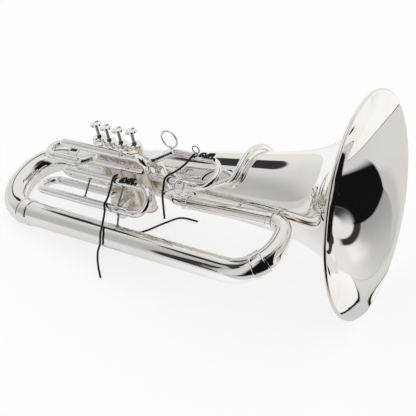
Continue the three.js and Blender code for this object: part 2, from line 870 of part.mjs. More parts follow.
// From the fourth valve out to the tuning slide, back behind the valves and down to the return branch
function makeTuningSlide() {
  const inlet = stubEnd(3, towardsBow, tuningZ);
  const wayX = returnEndX - tuningDropX;
  const wayY = returnEndY - tuningDropY;
  const insertShare = 1 + tuningInsert / wayX;
  const route = makeRoute([
    inlet,
    [tuningOffsetX, inlet[1], tuningZ, tuningOffsetBend],
    [tuningRunX, tuningFrontY, tuningZ, tuningOffsetBend],
    [tuningSleeveEndX, tuningFrontY, tuningZ],
    [tuningApexX, tuningFrontY, tuningZ, tuningBend],
    [tuningApexX, tuningRearY, tuningZ, tuningBend],
    [tuningSleeveEndX, tuningRearY, tuningZ],
    [tuningTurnX, tuningRearY, tuningZ, tuningTurnBend],
    [tuningDropX, tuningDropY, returnZ, tuningDropBend],
    [tuningDropX + wayX * insertShare, tuningDropY + wayY * insertShare, returnZ],
  ]);
  const frontEnd = route.marks[3].start;
  const rearEnd = route.marks[6].start;
  const wall = sleeveRadius - sleeveBoreRadius;
  const inletStations = [
    [0, sleeveRadius, sleeveBoreRadius],
    [frontEnd, sleeveRadius, sleeveBoreRadius],
  ];
  const returnStations = [
    [rearEnd, sleeveRadius, sleeveBoreRadius],
    [route.marks[7].start, sleeveRadius, sleeveBoreRadius],
    [route.length, tuningEndRadius, tuningEndRadius - wall],
  ];
  const group = new THREE.Group();
  group.add(
    namedMesh("tuning_inlet_tube", sweepTube(route, inletStations, tubeSides), silver),
    namedMesh("tuning_return_tube", sweepTube(route, returnStations, tubeSides), silver),
    namedMesh("tuning_slide", makeCrook(route, frontEnd, rearEnd, tuningLeg, plainTube), silver),
  );
  return group;
}

// The receiver on the far side of the bell, and the leadpipe over the bell to the first valve
function makeLeadpipe() {
  const valveEnd = stubEnd(0, towardsFront, leadpipeValveZ);
  const [, pipeY, pipeZ] = leadpipeCorners[0];
  const route = makeRoute([
    [receiverMouthX, pipeY, pipeZ],
    ...leadpipeCorners,
    [valveEnd[0], leadpipeFrontY, leadpipeValveZ, elbowBend],
    valveEnd,
  ]);
  const pipeStations = [
    [receiverLength - receiverInsert, leadpipeRadius, leadpipeBoreRadius],
    [route.length, leadpipeRadius, leadpipeBoreRadius],
  ];
  const fitRadius = leadpipeRadius + fitGap;
  const insertStart = receiverLength - receiverInsert - fitGap;
  const rimLength = 2 * ferruleBeadLength;
  const receiverStations = [
    [0, receiverMouthRadius, receiverMouthBore],
    [rimLength, receiverMouthRadius, receiverMouthBore],
    [rimLength + shoulderStep, receiverNeckRadius, receiverMouthBore],
    [insertStart - shoulderStep, receiverNeckRadius, leadpipeBoreRadius],
    [insertStart, receiverNeckRadius, fitRadius],
    [receiverLength, receiverNeckRadius, fitRadius],
  ];
  const group = new THREE.Group();
  group.add(
    namedMesh("leadpipe", sweepTube(route, pipeStations, tubeSides), silver),
    namedMesh("mouthpiece_receiver", sweepTube(route, receiverStations, tubeSides), silver),
  );
  return group;
}

// A wire ring that stands on a tube, upright along X, or across it when its side is given
function makeRing(x, [tubeY, tubeZ], tubeRadius, radius, wire, across) {
  const reach = tubeRadius + fitGap + wire + radius;
  const ring = new THREE.TorusGeometry(radius, wire, ringSides, ringSteps);
  if (!across) return closeSurface(ring.rotateX(Math.PI / 2).translate(x, tubeY, tubeZ + reach));
  const sideways = Math.sqrt(reach ** 2 - across ** 2);
  return closeSurface(ring.rotateY(Math.PI / 2).translate(x, tubeY - sideways, tubeZ + across));
}

function makeRings() {
  const upper = [firstUpperY, firstInZ];
  const lower = [firstLowerY, firstOutZ];
  const finger = makeRing(fingerRingX, upper, loopSleeveRadius, fingerRingRadius, fingerRingWire);
  const pull = makeRing(pullRingX, lower, loopBowRadius, pullRingRadius, pullRingWire, pullRingLift);
  const loop = makeRing(cordRingX, upper, loopBowRadius, cordRingRadius, cordRingWire);
  const group = new THREE.Group();
  group.add(
    namedMesh("finger_ring", finger, silver),
    namedMesh("slide_1_pull_ring", pull, silver),
    namedMesh("cord_ring", loop, steel),
  );
  return group;
}

// A rod with a foot at each end, between two tubes that cross the plane at x
function makeBrace(name, x, [fromY, fromZ, fromRadius], [toY, toZ, toRadius]) {
  const from = new THREE.Vector3(x, fromY, fromZ);
  const to = new THREE.Vector3(x, toY, toZ);
  const route = makeRoute([from.toArray(), to.toArray()]);
  const start = fromRadius + fitGap;
  const end = route.length - toRadius - fitGap;
  const stations = [
    [start, braceFootRadius, 0],
    [start + braceFootHeight, braceRadius, 0],
    [end - braceFootHeight, braceRadius, 0],
    [end, braceFootRadius, 0],
  ];
  return namedMesh(name, sweepTube(route, stations, tubeSides), silver);
}

function makeBraces() {
  const upper = [thirdUpperY, thirdUpperZ, sleeveRadius];
  const lower = [thirdLowerY, thirdLowerZ, sleeveRadius];
  const branchShare = (branchBraceX - bowJointX) / (topBowX - topBowFrontBend - bowJointX);
  const branchRadius = bowEndRadius + (branchEndRadius - bowEndRadius) * branchShare;
  const returnShare = (bellBraceX - returnEndX) / (topBowX - returnEndX);
  const returnRadius = returnEndRadius + (returnStartRadius - returnEndRadius) * returnShare;
  const returnY = returnEndY + (returnTopY - returnEndY) * returnShare;
  const bellShare = bellBraceX / bellAxis.x / bellLength;
  const [, bellY, bellZ] = onBellAxis(bellShare * bellLength);
  const group = new THREE.Group();
  group.add(
    makeBrace("slide_brace_left", leftBraceX, upper, lower),
    makeBrace("slide_brace_right", rightBraceX, upper, lower),
    makeBrace("branch_brace", branchBraceX, lower, [branchY, 0, branchRadius]),
    makeBrace("bell_brace", bellBraceX, [returnY, returnZ, returnRadius], [bellY, bellZ, bellRadiusAt(1 - bellShare)]),
  );
  return group;
}

// A cord through its points, with a ring every step
function makeCord(name, points) {
  const curve = new THREE.CatmullRomCurve3(points, false, "centripetal");
  const steps = Math.round(curve.getLength() / cordStep);
  const rings = Array.from({ length: steps + 1 }, (_, k) => ({
    point: curve.getPointAt(k / steps),
    tangent: curve.getTangentAt(k / steps),
  }));
  measureRings(rings);
  const { distance } = rings[steps];
  const stations = [[0, cordRadius, 0], [distance, cordRadius, 0]];
  return namedMesh(name, sweepTube({ rings, length: distance }, stations, cordSides), blackCord);
}

function makeCords(horn) {
  const over = (points) => points.map((point) => horn.localToWorld(new THREE.Vector3(...point)));
  const down = (points) => {
    return points.map(([x, y, z]) => new THREE.Vector3(x + horn.position.x, y + horn.position.y, z));
  };
  return [
    makeCord("cord_front", [...over(cordFrontOver), ...down(cordFrontDown)]),
    makeCord("cord_floor", down(cordFloorDown)),
    makeCord("cord_ring_tail", over(cordTailOver)),
  ];
}

function makeHorn() {
  const horn = new THREE.Group();
  horn.add(makeBell(), makeMainTubing(), makeValves(), ...makeSlides(), makeTuningSlide(), makeLeadpipe());
  horn.add(makeRings(), makeBraces());
  return horn;
}

// Laid on its back, with the origin under the middle of the horn
function layDown(horn) {
  horn.rotation.set(layRoll, -layTilt, 0, "YXZ");
  horn.updateMatrixWorld(true);
  const bounds = new THREE.Box3().setFromObject(horn, true);
  const middle = bounds.getCenter(new THREE.Vector3());
  horn.position.set(-middle.x, -middle.y, -bounds.min.z);
  horn.updateMatrixWorld(true);
}

const part = new THREE.Group();
const horn = makeHorn();
layDown(horn);
part.add(horn, ...makeCords(horn));
export default part;
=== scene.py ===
import json
from math import ceil, cos, exp, pi, radians, sin, sqrt, tan

import bmesh
import bpy
from mathutils import Matrix, Vector


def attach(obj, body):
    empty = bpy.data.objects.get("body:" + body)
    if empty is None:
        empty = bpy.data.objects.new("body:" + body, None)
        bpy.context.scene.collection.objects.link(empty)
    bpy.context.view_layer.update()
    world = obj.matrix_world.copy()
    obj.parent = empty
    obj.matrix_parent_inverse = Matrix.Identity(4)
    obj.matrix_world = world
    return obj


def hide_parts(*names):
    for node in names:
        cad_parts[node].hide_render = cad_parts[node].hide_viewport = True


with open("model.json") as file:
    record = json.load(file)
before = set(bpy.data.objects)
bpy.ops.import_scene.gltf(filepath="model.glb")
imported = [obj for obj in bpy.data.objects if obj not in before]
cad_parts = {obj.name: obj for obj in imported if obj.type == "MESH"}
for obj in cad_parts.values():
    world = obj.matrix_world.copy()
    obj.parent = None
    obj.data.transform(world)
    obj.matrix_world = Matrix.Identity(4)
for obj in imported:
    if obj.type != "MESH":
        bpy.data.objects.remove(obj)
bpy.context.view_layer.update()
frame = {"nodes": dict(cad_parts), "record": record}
bodyOf = {node: body for body, nodes in frame["record"]["behaviour"]["bodies"].items() for node in nodes}
print("frame loaded with", len(frame["nodes"]), "nodes")

# The horn is drawn in its own frame in millimetres, with X along the branches, then laid down in metres
lying = {"tilt": 11.62, "roll": 0.44, "place": (-0.290262, -0.041216, 0.036784), "metresPerMillimetre": 0.001}
hornFrame = (
    Matrix.Translation(lying["place"])
    @ Matrix.Rotation(radians(-lying["tilt"]), 4, "Y")
    @ Matrix.Rotation(radians(lying["roll"]), 4, "X")
    @ Matrix.Scale(lying["metresPerMillimetre"], 4)
)

# Camera, with the photograph's view
view = {
    "place": (0.75990, -1.11891, 1.23168), "turn": (48.6487, 0.0806, 33.4055),
    "lens": 72.68, "sensor": 36, "clipEnd": 20,
}
cameraData = bpy.data.cameras.new("camera")
cameraData.lens = view["lens"]
cameraData.sensor_width = view["sensor"]
cameraData.clip_end = view["clipEnd"]
camera = bpy.data.objects.new("camera", cameraData)
camera.location = view["place"]
camera.rotation_euler = [radians(angle) for angle in view["turn"]]
bpy.context.scene.collection.objects.link(camera)
bpy.context.scene.camera = camera


# One output of a node, so that sums on it are written as Python
class Flow:
    def __init__(self, tree, socket=None):
        self.tree = tree
        self.socket = socket

    # A node of a type: its settings first, then the values and links of its inputs
    def node(self, kind, settings=None, inputs=None, output=0):
        made = self.tree.nodes.new("ShaderNode" + kind)
        for name, value in (settings or {}).items():
            setattr(made, name, value)
        for name, value in (inputs or {}).items():
            if isinstance(value, Flow):
                self.tree.links.new(value.socket, made.inputs[name])
            else:
                made.inputs[name].default_value = value
        return Flow(self.tree, made.outputs[output] if made.outputs else None)

    def maths(self, operation, *values):
        return self.node("Math", {"operation": operation}, dict(enumerate(values)))

    def __add__(self, other):
        return self.maths("ADD", self, other)

    __radd__ = __add__

    def __sub__(self, other):
        return self.maths("SUBTRACT", self, other)

    def __rsub__(self, other):
        return self.maths("SUBTRACT", other, self)

    def __mul__(self, other):
        return self.maths("MULTIPLY", self, other)

    __rmul__ = __mul__

    def __abs__(self):
        return self.maths("ABSOLUTE", self)

    # 0 below the first value, 1 above the second, smooth between them
    def rise(self, low, high):
        span = {"Value": self, "From Min": low, "From Max": high}
        return self.node("MapRange", {"interpolation_type": "SMOOTHSTEP"}, span)

    def mixColours(self, first, second):
        return self.node("Mix", {"data_type": "RGBA"}, {"Factor": self, 6: first, 7: second}, 2)

    def noise(self, scale, detail):
        return self.node("TexNoise", None, {"Vector": self, "Scale": scale, "Detail": detail})

    def bump(self, strength, distance):
        return self.node("Bump", None, {"Strength": strength, "Distance": distance, "Height": self})

    def surface(self, inputs):
        shader = self.node("BsdfPrincipled", None, inputs)
        self.node("OutputMaterial", None, {"Surface": shader})


def startTree(owner):
    owner.use_nodes = True
    owner.node_tree.nodes.clear()
    return Flow(owner.node_tree)


def startMaterial(name):
    material = bpy.data.materials.new(name)
    return material, startTree(material)


# Plated metal: even colour with a breath of tarnish, smears in its gloss, and soft waves left by polishing
plating = {"film": (0.42, 0.75), "filmDetail": 4.0, "smears": (0.35, 0.8), "smearDetail": 5.0, "waveDetail": 1.0}


def makePlate(name, look):
    material, flow = startMaterial(name)
    place = flow.node("TexCoord", output="Object")
    film = place.noise(look["filmScale"], plating["filmDetail"]).rise(*plating["film"])
    smears = place.noise(look["smearScale"], plating["smearDetail"]).rise(*plating["smears"])
    waves = place.noise(look["waveScale"], plating["waveDetail"])
    flow.surface({
        "Base Color": film.mixColours((*look["colour"], 1), (*look["tarnish"], 1)),
        "Metallic": look["metallic"],
        "Roughness": smears * look["smear"] + look["roughness"],
        "Normal": waves.bump(look["wave"], look["waveHeight"]),
    })
    return material


# What each row of the table below holds, in this order
lookKeys = (
    "metallic", "colour", "tarnish", "filmScale", "smearScale", "roughness", "smear", "waveScale", "wave",
    "waveHeight",
)
plateLooks = {
    "polishedPlate": (1.0, (0.967, 0.945, 0.916), (0.95, 0.912, 0.862), 14.0, 35.0, 0.02, 0.03, 22.0, 0.25, 0.0006),
    "satinPlate": (0.6, (0.95, 0.89, 0.81), (0.88, 0.81, 0.72), 25.0, 90.0, 0.3, 0.15, 60.0, 0.2, 0.0003),
    "sleevePlate": (1.0, (0.95, 0.942, 0.93), (0.93, 0.91, 0.88), 30.0, 60.0, 0.11, 0.06, 22.0, 0.2, 0.0003),
    # The plate of the slide braces is darker than the rest
    "darkPlate": (1.0, (0.34, 0.32, 0.30), (0.22, 0.20, 0.18), 160.0, 90.0, 0.12, 0.1, 60.0, 0.2, 0.0002),
    "stemMetal": (1.0, (0.42, 0.41, 0.40), (0.25, 0.235, 0.22), 120.0, 200.0, 0.22, 0.15, 300.0, 0.15, 0.0001),
}
polishedPlate, satinPlate, sleevePlate, darkPlate, stemMetal = (
    makePlate(name, dict(zip(lookKeys, row))) for name, row in plateLooks.items()
)


# Felt collars: black wool with short loose fibres
def makeFelt():
    material, flow = startMaterial("blackFelt")
    look = {
        "dark": (0.03, 0.026, 0.024, 1), "pale": (0.13, 0.115, 0.1, 1), "fibreScale": 900.0, "fibreDetail": 6.0,
        "fibreRise": (0.4, 0.75), "roughness": 0.95, "bump": (0.6, 0.0004),
    }
    fibres = flow.node("TexCoord", output="Object").noise(look["fibreScale"], look["fibreDetail"])
    colour = fibres.rise(*look["fibreRise"]).mixColours(look["dark"], look["pale"])
    flow.surface({"Base Color": colour, "Roughness": look["roughness"], "Normal": fibres.bump(*look["bump"])})
    return material


# Braided cord: strands cross both ways round it, by the attributes that its tube carries
def makeBraid():
    material, flow = startMaterial("blackBraid")
    look = {
        "strands": 6, "pitch": 0.62, "dark": (0.003, 0.003, 0.004, 1), "pale": (0.013, 0.013, 0.015, 1),
        "strandRise": (-0.2, 1.0), "roughness": 0.9, "bump": (0.7, 0.0003),
    }
    along, sideX, sideY = (
        flow.node("Attribute", {"attribute_name": name}, output="Fac") for name in ("along", "roundX", "roundY")
    )
    turn = flow.maths("ARCTAN2", sideY, sideX) * look["strands"]
    lay = along * (2 * pi * look["pitch"])
    strand = flow.maths("MAXIMUM", flow.maths("SINE", turn + lay), flow.maths("SINE", turn - lay))
    colour = strand.rise(*look["strandRise"]).mixColours(look["dark"], look["pale"])
    flow.surface({"Base Color": colour, "Roughness": look["roughness"], "Normal": strand.bump(*look["bump"])})
    return material


blackFelt = makeFelt()
blackBraid = makeBraid()
print("finishes made")


# Clearance between seated parts, the width of a broken edge, the angles past which an edge is sharp, and the
# distance within which points are one
fit = 0.3
chamfer = 0.3
creases = {"tube": 38, "turned": 50, "cloth": 60}
weldDistance = 0.003


def blend(start, end, share):
    return start + (end - start) * share


# Routes that tubes follow, traced as rings
tracing = {"leastTurn": 0.0001, "degreesPerStep": 5, "leastSteps": 4, "upright": 0.9, "clearOfRing": 0.2}


def bendRings(point, before, after, bend):
    turn = before.angle(after)
    if not bend or turn < tracing["leastTurn"]:
        return [(point.copy(), before.copy())]
    axis = before.cross(after).normalized()
    inward = axis.cross(before)
    centre = point - before * bend * tan(turn / 2) + inward * bend
    steps = max(tracing["leastSteps"], ceil(turn / radians(tracing["degreesPerStep"])))
    swings = [Matrix.Rotation(turn * k / steps, 3, axis) for k in range(steps + 1)]
    return [(centre - swing @ inward * bend, swing @ before) for swing in swings]


# Rings with their distance along the route and a side that doesn't twist
def measured(points):
    way = points[0][1]
    side = Vector((0, 0, 1) if abs(way.z) < tracing["upright"] else (0, 1, 0)).cross(way).normalized()
    rings = []
    for point, way in points:
        side = (side - way * side.dot(way)).normalized()
        distance = rings[-1]["distance"] + (point - rings[-1]["point"]).length if rings else 0
        rings.append({"point": point, "way": way, "side": side, "distance": distance})
    return rings


# A route through corners (x, y, z, bend radius), with the marks where each corner's bend starts and ends
def routeThrough(corners):
    points = [Vector(corner[:3]) for corner in corners]
    ways = [(b - a).normalized() for a, b in zip(points, points[1:])]
    rings, spans = [], []
    for i, point in enumerate(points):
        bend = corners[i][3] if len(corners[i]) > 3 else 0
        made = bendRings(point, ways[max(i - 1, 0)], ways[min(i, len(ways) - 1)], bend)
        spans.append((len(rings), len(rings) + len(made) - 1))
        rings += made
    rings = measured(rings)
    marks = [(rings[first]["distance"], rings[last]["distance"]) for first, last in spans]
    return {"rings": rings, "marks": marks, "length": rings[-1]["distance"]}


# The matrix that puts a unit circle round the route
def ringPlace(route, distance, radius):
    rings = route["rings"]
    i = 0
    while i < len(rings) - 2 and rings[i + 1]["distance"] < distance:
        i += 1
    start, end = rings[i], rings[i + 1]
    share = (distance - start["distance"]) / (end["distance"] - start["distance"])
    turnShare = min(max(share, 0), 1)
    point = start["point"].lerp(end["point"], share)
    way = start["way"].lerp(end["way"], turnShare).normalized()
    side = start["side"].lerp(end["side"], turnShare)
    side = (side - way * side.dot(way)).normalized()
    turned = Matrix((side, way.cross(side), way)).transposed().to_4x4()
    return Matrix.Translation(point) @ turned @ Matrix.Scale(radius, 4)


# The outline (distance, radius), with a step at each of the route's rings that it passes
def withRings(route, outline):
    steps = [outline[0]]
    for (start, first), (end, last) in zip(outline, outline[1:]):
        low, high = min(start, end) + tracing["clearOfRing"], max(start, end) - tracing["clearOfRing"]
        between = [ring["distance"] for ring in route["rings"] if low < ring["distance"] < high]
        for at in sorted(between, reverse=end < start):
            steps.append((at, blend(first, last, (at - start) / (end - start))))
        steps.append((end, last))
    return steps


# A circle drawn along the route; a hollow outline comes back to its start, a solid one gets flat ends
def addTube(bm, route, outline, sides=40, hollow=True, marked=False):
    layers = [bm.verts.layers.float.new(name) for name in ("along", "roundX", "roundY")] if marked else []
    outline = outline + outline[:1] if hollow else outline
    verts = bmesh.ops.create_circle(bm, segments=sides, radius=1)["verts"]
    loop = list({edge for vert in verts for edge in vert.link_edges})
    if marked:
        for vert in verts:
            vert[layers[1]], vert[layers[2]] = vert.co.x, vert.co.y
    firstLoop = loop
    last = Matrix.Identity(4)
    for i, (at, radius) in enumerate(withRings(route, outline)):
        place = ringPlace(route, at, radius)
        if i:
            grown = bmesh.ops.extrude_edge_only(bm, edges=loop)["geom"]
            verts = [part for part in grown if isinstance(part, bmesh.types.BMVert)]
            fresh = set(verts)
            edges = [part for part in grown if isinstance(part, bmesh.types.BMEdge)]
            loop = [edge for edge in edges if edge.verts[0] in fresh and edge.verts[1] in fresh]
        bmesh.ops.transform(bm, matrix=place @ last.inverted(), verts=verts)
        for vert in verts if marked else []:
            vert[layers[0]] = at
        last = place
    if not hollow:
        bmesh.ops.holes_fill(bm, edges=firstLoop, sides=0)
        bmesh.ops.holes_fill(bm, edges=loop, sides=0)


# A closed outline (radius, height) turned about Z, then put in place
def addTurned(bm, outline, place, steps=64):
    verts = [bm.verts.new((radius, 0, height)) for radius, height in outline]
    edges = [bm.edges.new(pair) for pair in zip(verts, verts[1:] + verts[:1])]
    known = set(bm.verts) - set(verts)
    bmesh.ops.spin(
        bm, geom=verts + edges, cent=(0, 0, 0), axis=(0, 0, 1), dvec=(0, 0, 0), angle=2 * pi, steps=steps,
        use_merge=True, use_duplicate=False,
    )
    turned = [vert for vert in bm.verts if vert not in known]
    bmesh.ops.transform(bm, matrix=place, verts=turned)
    return turned


# Points of a half-round bead that stands on a tube
def bead(at, length, radius, height, steps=6):
    turns = [pi * k / steps for k in range(steps + 1)]
    return [(at + length * (1 - cos(turn)) / 2, radius + height * sin(turn)) for turn in turns]


# Points of an outline, as steps from one place
def shifted(x, y, steps):
    return [(x + a, y + b) for a, b in steps]


def mirrored(end, half):
    return [(end - at, radius) for at, radius in reversed(half)]


# An outline's two ends, the second one a mirror of the first
def bothEnds(start, end, half):
    return shifted(start, 0, half) + mirrored(end, half)


def meshObject(name, bm, finish):
    mesh = bpy.data.meshes.new(name)
    bm.to_mesh(mesh)
    bm.free()
    mesh.materials.append(finish)
    made = bpy.data.objects.new(name, mesh)
    bpy.context.scene.collection.objects.link(made)
    return made


# A piece stands for the nodes that it replaces; a felt or a knot stands for none and names its body
def makePiece(name, bm, nodes, finish, crease="tube", body=None):
    bmesh.ops.remove_doubles(bm, verts=bm.verts, dist=weldDistance)
    bmesh.ops.recalc_face_normals(bm, faces=bm.faces)
    bmesh.ops.transform(bm, matrix=hornFrame, verts=bm.verts)
    piece = meshObject(name, bm, finish)
    piece.data.shade_smooth()
    piece.data.set_sharp_from_angle(angle=radians(creases[crease]))
    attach(piece, body or bodyOf[nodes[0]])
    if nodes:
        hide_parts(*nodes)
    return piece


def makeTube(name, node, route, outline, finish=polishedPlate, sides=40, hollow=True):
    bm = bmesh.new()
    addTube(bm, route, outline, sides, hollow)
    makePiece(name, bm, [node], finish)


def makeTurned(
    name, nodes, outline, place, steps=64, finish=polishedPlate, crease="tube", body=None
):
    bm = bmesh.new()
    addTurned(bm, outline, place, steps)
    makePiece(name, bm, nodes, finish, crease, body)


def refinish(node, finish):
    materials = frame["nodes"][node].data.materials
    materials.clear()
    materials.append(finish)


# Cords: the same points as the solids, first over the tubes in the horn's frame, then down beside it
cords = {
    "radius": 2.1, "sides": 12, "stepsPerSpan": 8, "tipLength": 0.5, "tipRadius": 0.55,
    "frontOver": [
        (206, -89.5, 99), (205, -97, 100.3), (204, -104.5, 97.6), (203, -113, 86), (200, -123, 71),
        (198, -131, 62), (201, -141, 61.6), (208, -153, 52), (207, -167, 30.5), (213, -184, 21.6),
        (213, -192.8, 2),
    ],
    "frontDown": [(201, -193.5, 56), (198, -194, 36), (200, -197, 16), (207, -203, 5), (216, -211, 2.4)],
    "floorDown": [(190, -74, 2.4), (209, -48, 2.4), (228.6, -5.3, 2.4), (248.5, 27.1, 2.4), (286, 38.1, 2.4)],
    "tailOver": [
        (352, -14.5, 132), (345, -21, 125), (337, -32, 116), (329, -45, 110), (322, -57, 107.6),
        (317, -66, 106.8), (315, -75, 104), (314, -82, 92), (311, -86, 78), (308, -86.6, 66),
        (303, -86.6, 36), (299, -86.6, 11),
    ],
}


def besideHorn(points):
    x, y = (1000 * value for value in lying["place"][:2])
    down = hornFrame.inverted()
    return [down @ Vector(((x + a) / 1000, (y + b) / 1000, c / 1000)) for a, b, c in points]


# A smooth line through the points, with centripetal spacing
def smoothLine(points, steps):
    first, last = points[0] * 2 - points[1], points[-1] * 2 - points[-2]
    knots = [first, *points, last]
    line = []
    for i in range(1, len(knots) - 2):
        a, b, c, d = knots[i - 1 : i + 3]
        gapA, gapB, gapC = sqrt((b - a).length), sqrt((c - b).length), sqrt((d - c).length)
        leave = ((b - a) / gapA - (c - a) / (gapA + gapB) + (c - b) / gapB) * gapB
        arrive = ((c - b) / gapB - (d - b) / (gapB + gapC) + (d - c) / gapC) * gapB
        for k in range(steps):
            t = k / steps
            point = b * (2 * t**3 - 3 * t**2 + 1) + leave * (t**3 - 2 * t**2 + t)
            line.append(point + c * (3 * t**2 - 2 * t**3) + arrive * (t**3 - t**2))
    return line + [points[-1].copy()]


def lineRoute(line):
    ways = [(b - a).normalized() for a, b in zip(line, line[1:])]
    middles = [(a + b).normalized() for a, b in zip(ways, ways[1:])]
    rings = measured(list(zip(line, [ways[0], *middles, ways[-1]])))
    return {"rings": rings, "length": rings[-1]["distance"]}


def addCord(bm, line, radius):
    route = lineRoute(line)
    length, tip = route["length"], radius * cords["tipLength"]
    end = radius * cords["tipRadius"]
    outline = [(0, end), (tip, radius), (length - tip, radius), (length, end)]
    addTube(bm, route, outline, cords["sides"], hollow=False, marked=True)


def makeCord(name, node, points, withPieces=()):
    line = smoothLine([Vector(point) for point in points], cords["stepsPerSpan"])
    bm = bmesh.new()
    addCord(bm, line, cords["radius"])
    piece = makePiece(name, bm, [node], blackBraid, "cloth")
    path = [hornFrame @ point for point in line]
    length = sum((b - a).length for a, b in zip(path, path[1:]))
    print(name, "is", round(length, 3), "m long")
    return piece


# A knot that lies on top of a tube along X: the cord weaves out along the tube and back over itself
def makeKnot(name, body, knot):
    x, y, z = knot["middle"]
    reach = knot["tubeRadius"] + knot["cordRadius"] - knot["sink"]
    line = []
    for k in range(knot["steps"] + 1):
        turn = 2 * pi * k / knot["steps"]
        angle = radians(knot["facing"] + knot["swing"] * sin(knot["waves"] * turn + knot["start"]))
        hump = knot["hump"] * sin(knot["humps"] * turn) ** 2
        height = reach + knot["lift"] * ((1 - cos(turn)) / 2 + hump)
        along = -knot["length"] / 2 * cos(turn * knot["returns"])
        line.append(Vector((x + along, y + height * cos(angle), z + height * sin(angle))))
    bm = bmesh.new()
    addCord(bm, line, knot["cordRadius"])
    return makePiece(name, bm, [], blackBraid, "cloth", body)


knots = {
    "cordRadius": 1.8, "sink": 0.2, "swing": 34, "waves": 3.5, "hump": 0.4, "humps": 3, "returns": 0.9, "steps": 96,
}
frontKnot = {
    **knots, "middle": (238, -97, 88), "tubeRadius": 8.4, "facing": 104, "start": 0.4, "lift": 3.0, "length": 34,
}
ringKnot = {
    **knots, "middle": (376, -8, 120), "tubeRadius": 7.4, "facing": 96, "start": 0.8, "lift": 2.8, "length": 32,
}
makeCord(
    "frontCord", "cord_front", cords["frontOver"] + besideHorn(cords["frontDown"]),
    [makeKnot("frontCordKnot", "horn", frontKnot)],
)
makeCord("floorCord", "cord_floor", besideHorn(cords["floorDown"]))
makeCord(
    "ringCord", "cord_ring_tail", cords["tailOver"], [makeKnot("ringCordKnot", "slide_1", ringKnot)],
)
print("cords made")

# Bell: cone, flare and the bead that is rolled round the rim
bell = {
    "length": 684, "tailZ": 35, "rimY": 60, "rimZ": 37.5,
    "rimRadius": 216, "tailRadius": 29, "coneRadius": 95, "flareDepth": 45, "wall": 1.2,
    "beadMiddle": 212.43, "beadHeight": 680.43, "beadRadius": 3.55, "beadTurns": (115, -125, -12),
    "points": 64, "firstPoint": 0.012, "crowding": 2.2, "steps": 192,
}
bellTail = Vector((0, 0, bell["tailZ"]))
bellRise = bell["rimZ"] - bell["tailZ"]
bellRun = sqrt(bell["length"] ** 2 - bell["rimY"] ** 2 - bellRise**2)
bellAxis = Vector((bellRun, bell["rimY"], bellRise)).normalized()


def bellRadiusAt(fromRim):
    cone = blend(bell["tailRadius"], bell["coneRadius"], 1 - fromRim)
    flare = (bell["rimRadius"] - bell["coneRadius"]) * exp(-fromRim * bell["length"] / bell["flareDepth"])
    return cone + flare


def makeBell():
    b = bell
    spread = [(k / b["points"]) ** b["crowding"] for k in range(b["points"] + 1)]
    shares = [b["firstPoint"] + (1 - b["firstPoint"]) * part for part in spread]
    outside = [(bellRadiusAt(share), (1 - share) * b["length"]) for share in shares]
    inside = [(radius - b["wall"], height) for radius, height in outside]
    turns = [radians(angle) for angle in range(b["beadTurns"][0], b["beadTurns"][1] - 1, b["beadTurns"][2])]
    roll = [(b["beadRadius"] * cos(turn), b["beadRadius"] * sin(turn)) for turn in turns]
    outline = [*reversed(inside), *shifted(b["beadMiddle"], b["beadHeight"], roll), *outside]
    place = Matrix.Translation(bellTail) @ Vector((0, 0, 1)).rotation_difference(bellAxis).to_matrix().to_4x4()
    makeTurned("bellShell", ["bell"], outline, place, b["steps"], crease="turned")


makeBell()
refinish("bell_rim_wire", polishedPlate)
print("bell made")

# Bottom bow, front branch, top bow and return branch
tubing = {
    "branchY": -163, "apexX": -97, "jointX": -17, "bend": 78,
    "startRadius": 29, "bowEnd": 26, "branchEnd": 23.2, "topEnd": 14, "wall": 1.2,
    "topX": 570, "topFrontBend": 80, "topRearBend": 30, "topJoint": 0.55,
    "returnTopY": -51.5, "returnZ": 47, "returnEndX": 340, "returnEndY": -63,
    "returnStart": 13.6, "returnEnd": 12.4, "returnBead": 2.6, "returnRise": 0.5,
    "reach": 13, "sleeveWall": 1.2, "lip": 0.6, "beadLength": 3, "beadHeight": 1.1, "groove": 0.5,
    "grooveShare": 0.4, "grooveStart": 0.4, "grooveEnd": 1.0, "seat": 0.05, "faintBead": 0.25, "faintGroove": 0.05,
    "sides": 72, "returnSides": 56,
}


def onBellAxis(distance):
    return tuple(bellTail + bellAxis * distance)


# A sleeve over a joint: two half-round beads with a groove inside each, and a plain middle
def ferruleOutline(joint, before, after, beadHeight, groove):
    t = tubing
    reach, length, seat, widest = t["reach"], t["beadLength"], t["seat"], max(before, after)
    outer = widest + fit + t["sleeveWall"]
    half = [
        (0, outer - t["lip"]), *bead(0, length, outer - groove * t["grooveShare"], beadHeight),
        (length + t["grooveStart"], outer - groove), (length + t["grooveEnd"], outer),
    ]
    return [
        *bothEnds(joint - reach, joint + reach, half),
        (joint + reach, after + seat), (joint, widest + seat), (joint - reach, before + seat),
    ]


# A tube with a collar at each end, where it goes over its neighbour
def returnOutline(start, end, collarEnd, collarStart):
    t = tubing
    length, height, collar = t["returnBead"], t["returnRise"], t["sleeveWall"] + fit
    first, last = t["returnStart"], t["returnEnd"]
    return [
        (start, first + collar - chamfer), (start + chamfer, first + collar),
        *bead(collarEnd - length, length, first + collar, height), (collarEnd + chamfer, first),
        (collarStart - chamfer, last), *bead(collarStart, length, last + collar, height),
        (end - chamfer, last + collar), (end, last + collar - chamfer), (end, last - t["wall"]),
        (start, first - t["wall"]),
    ]


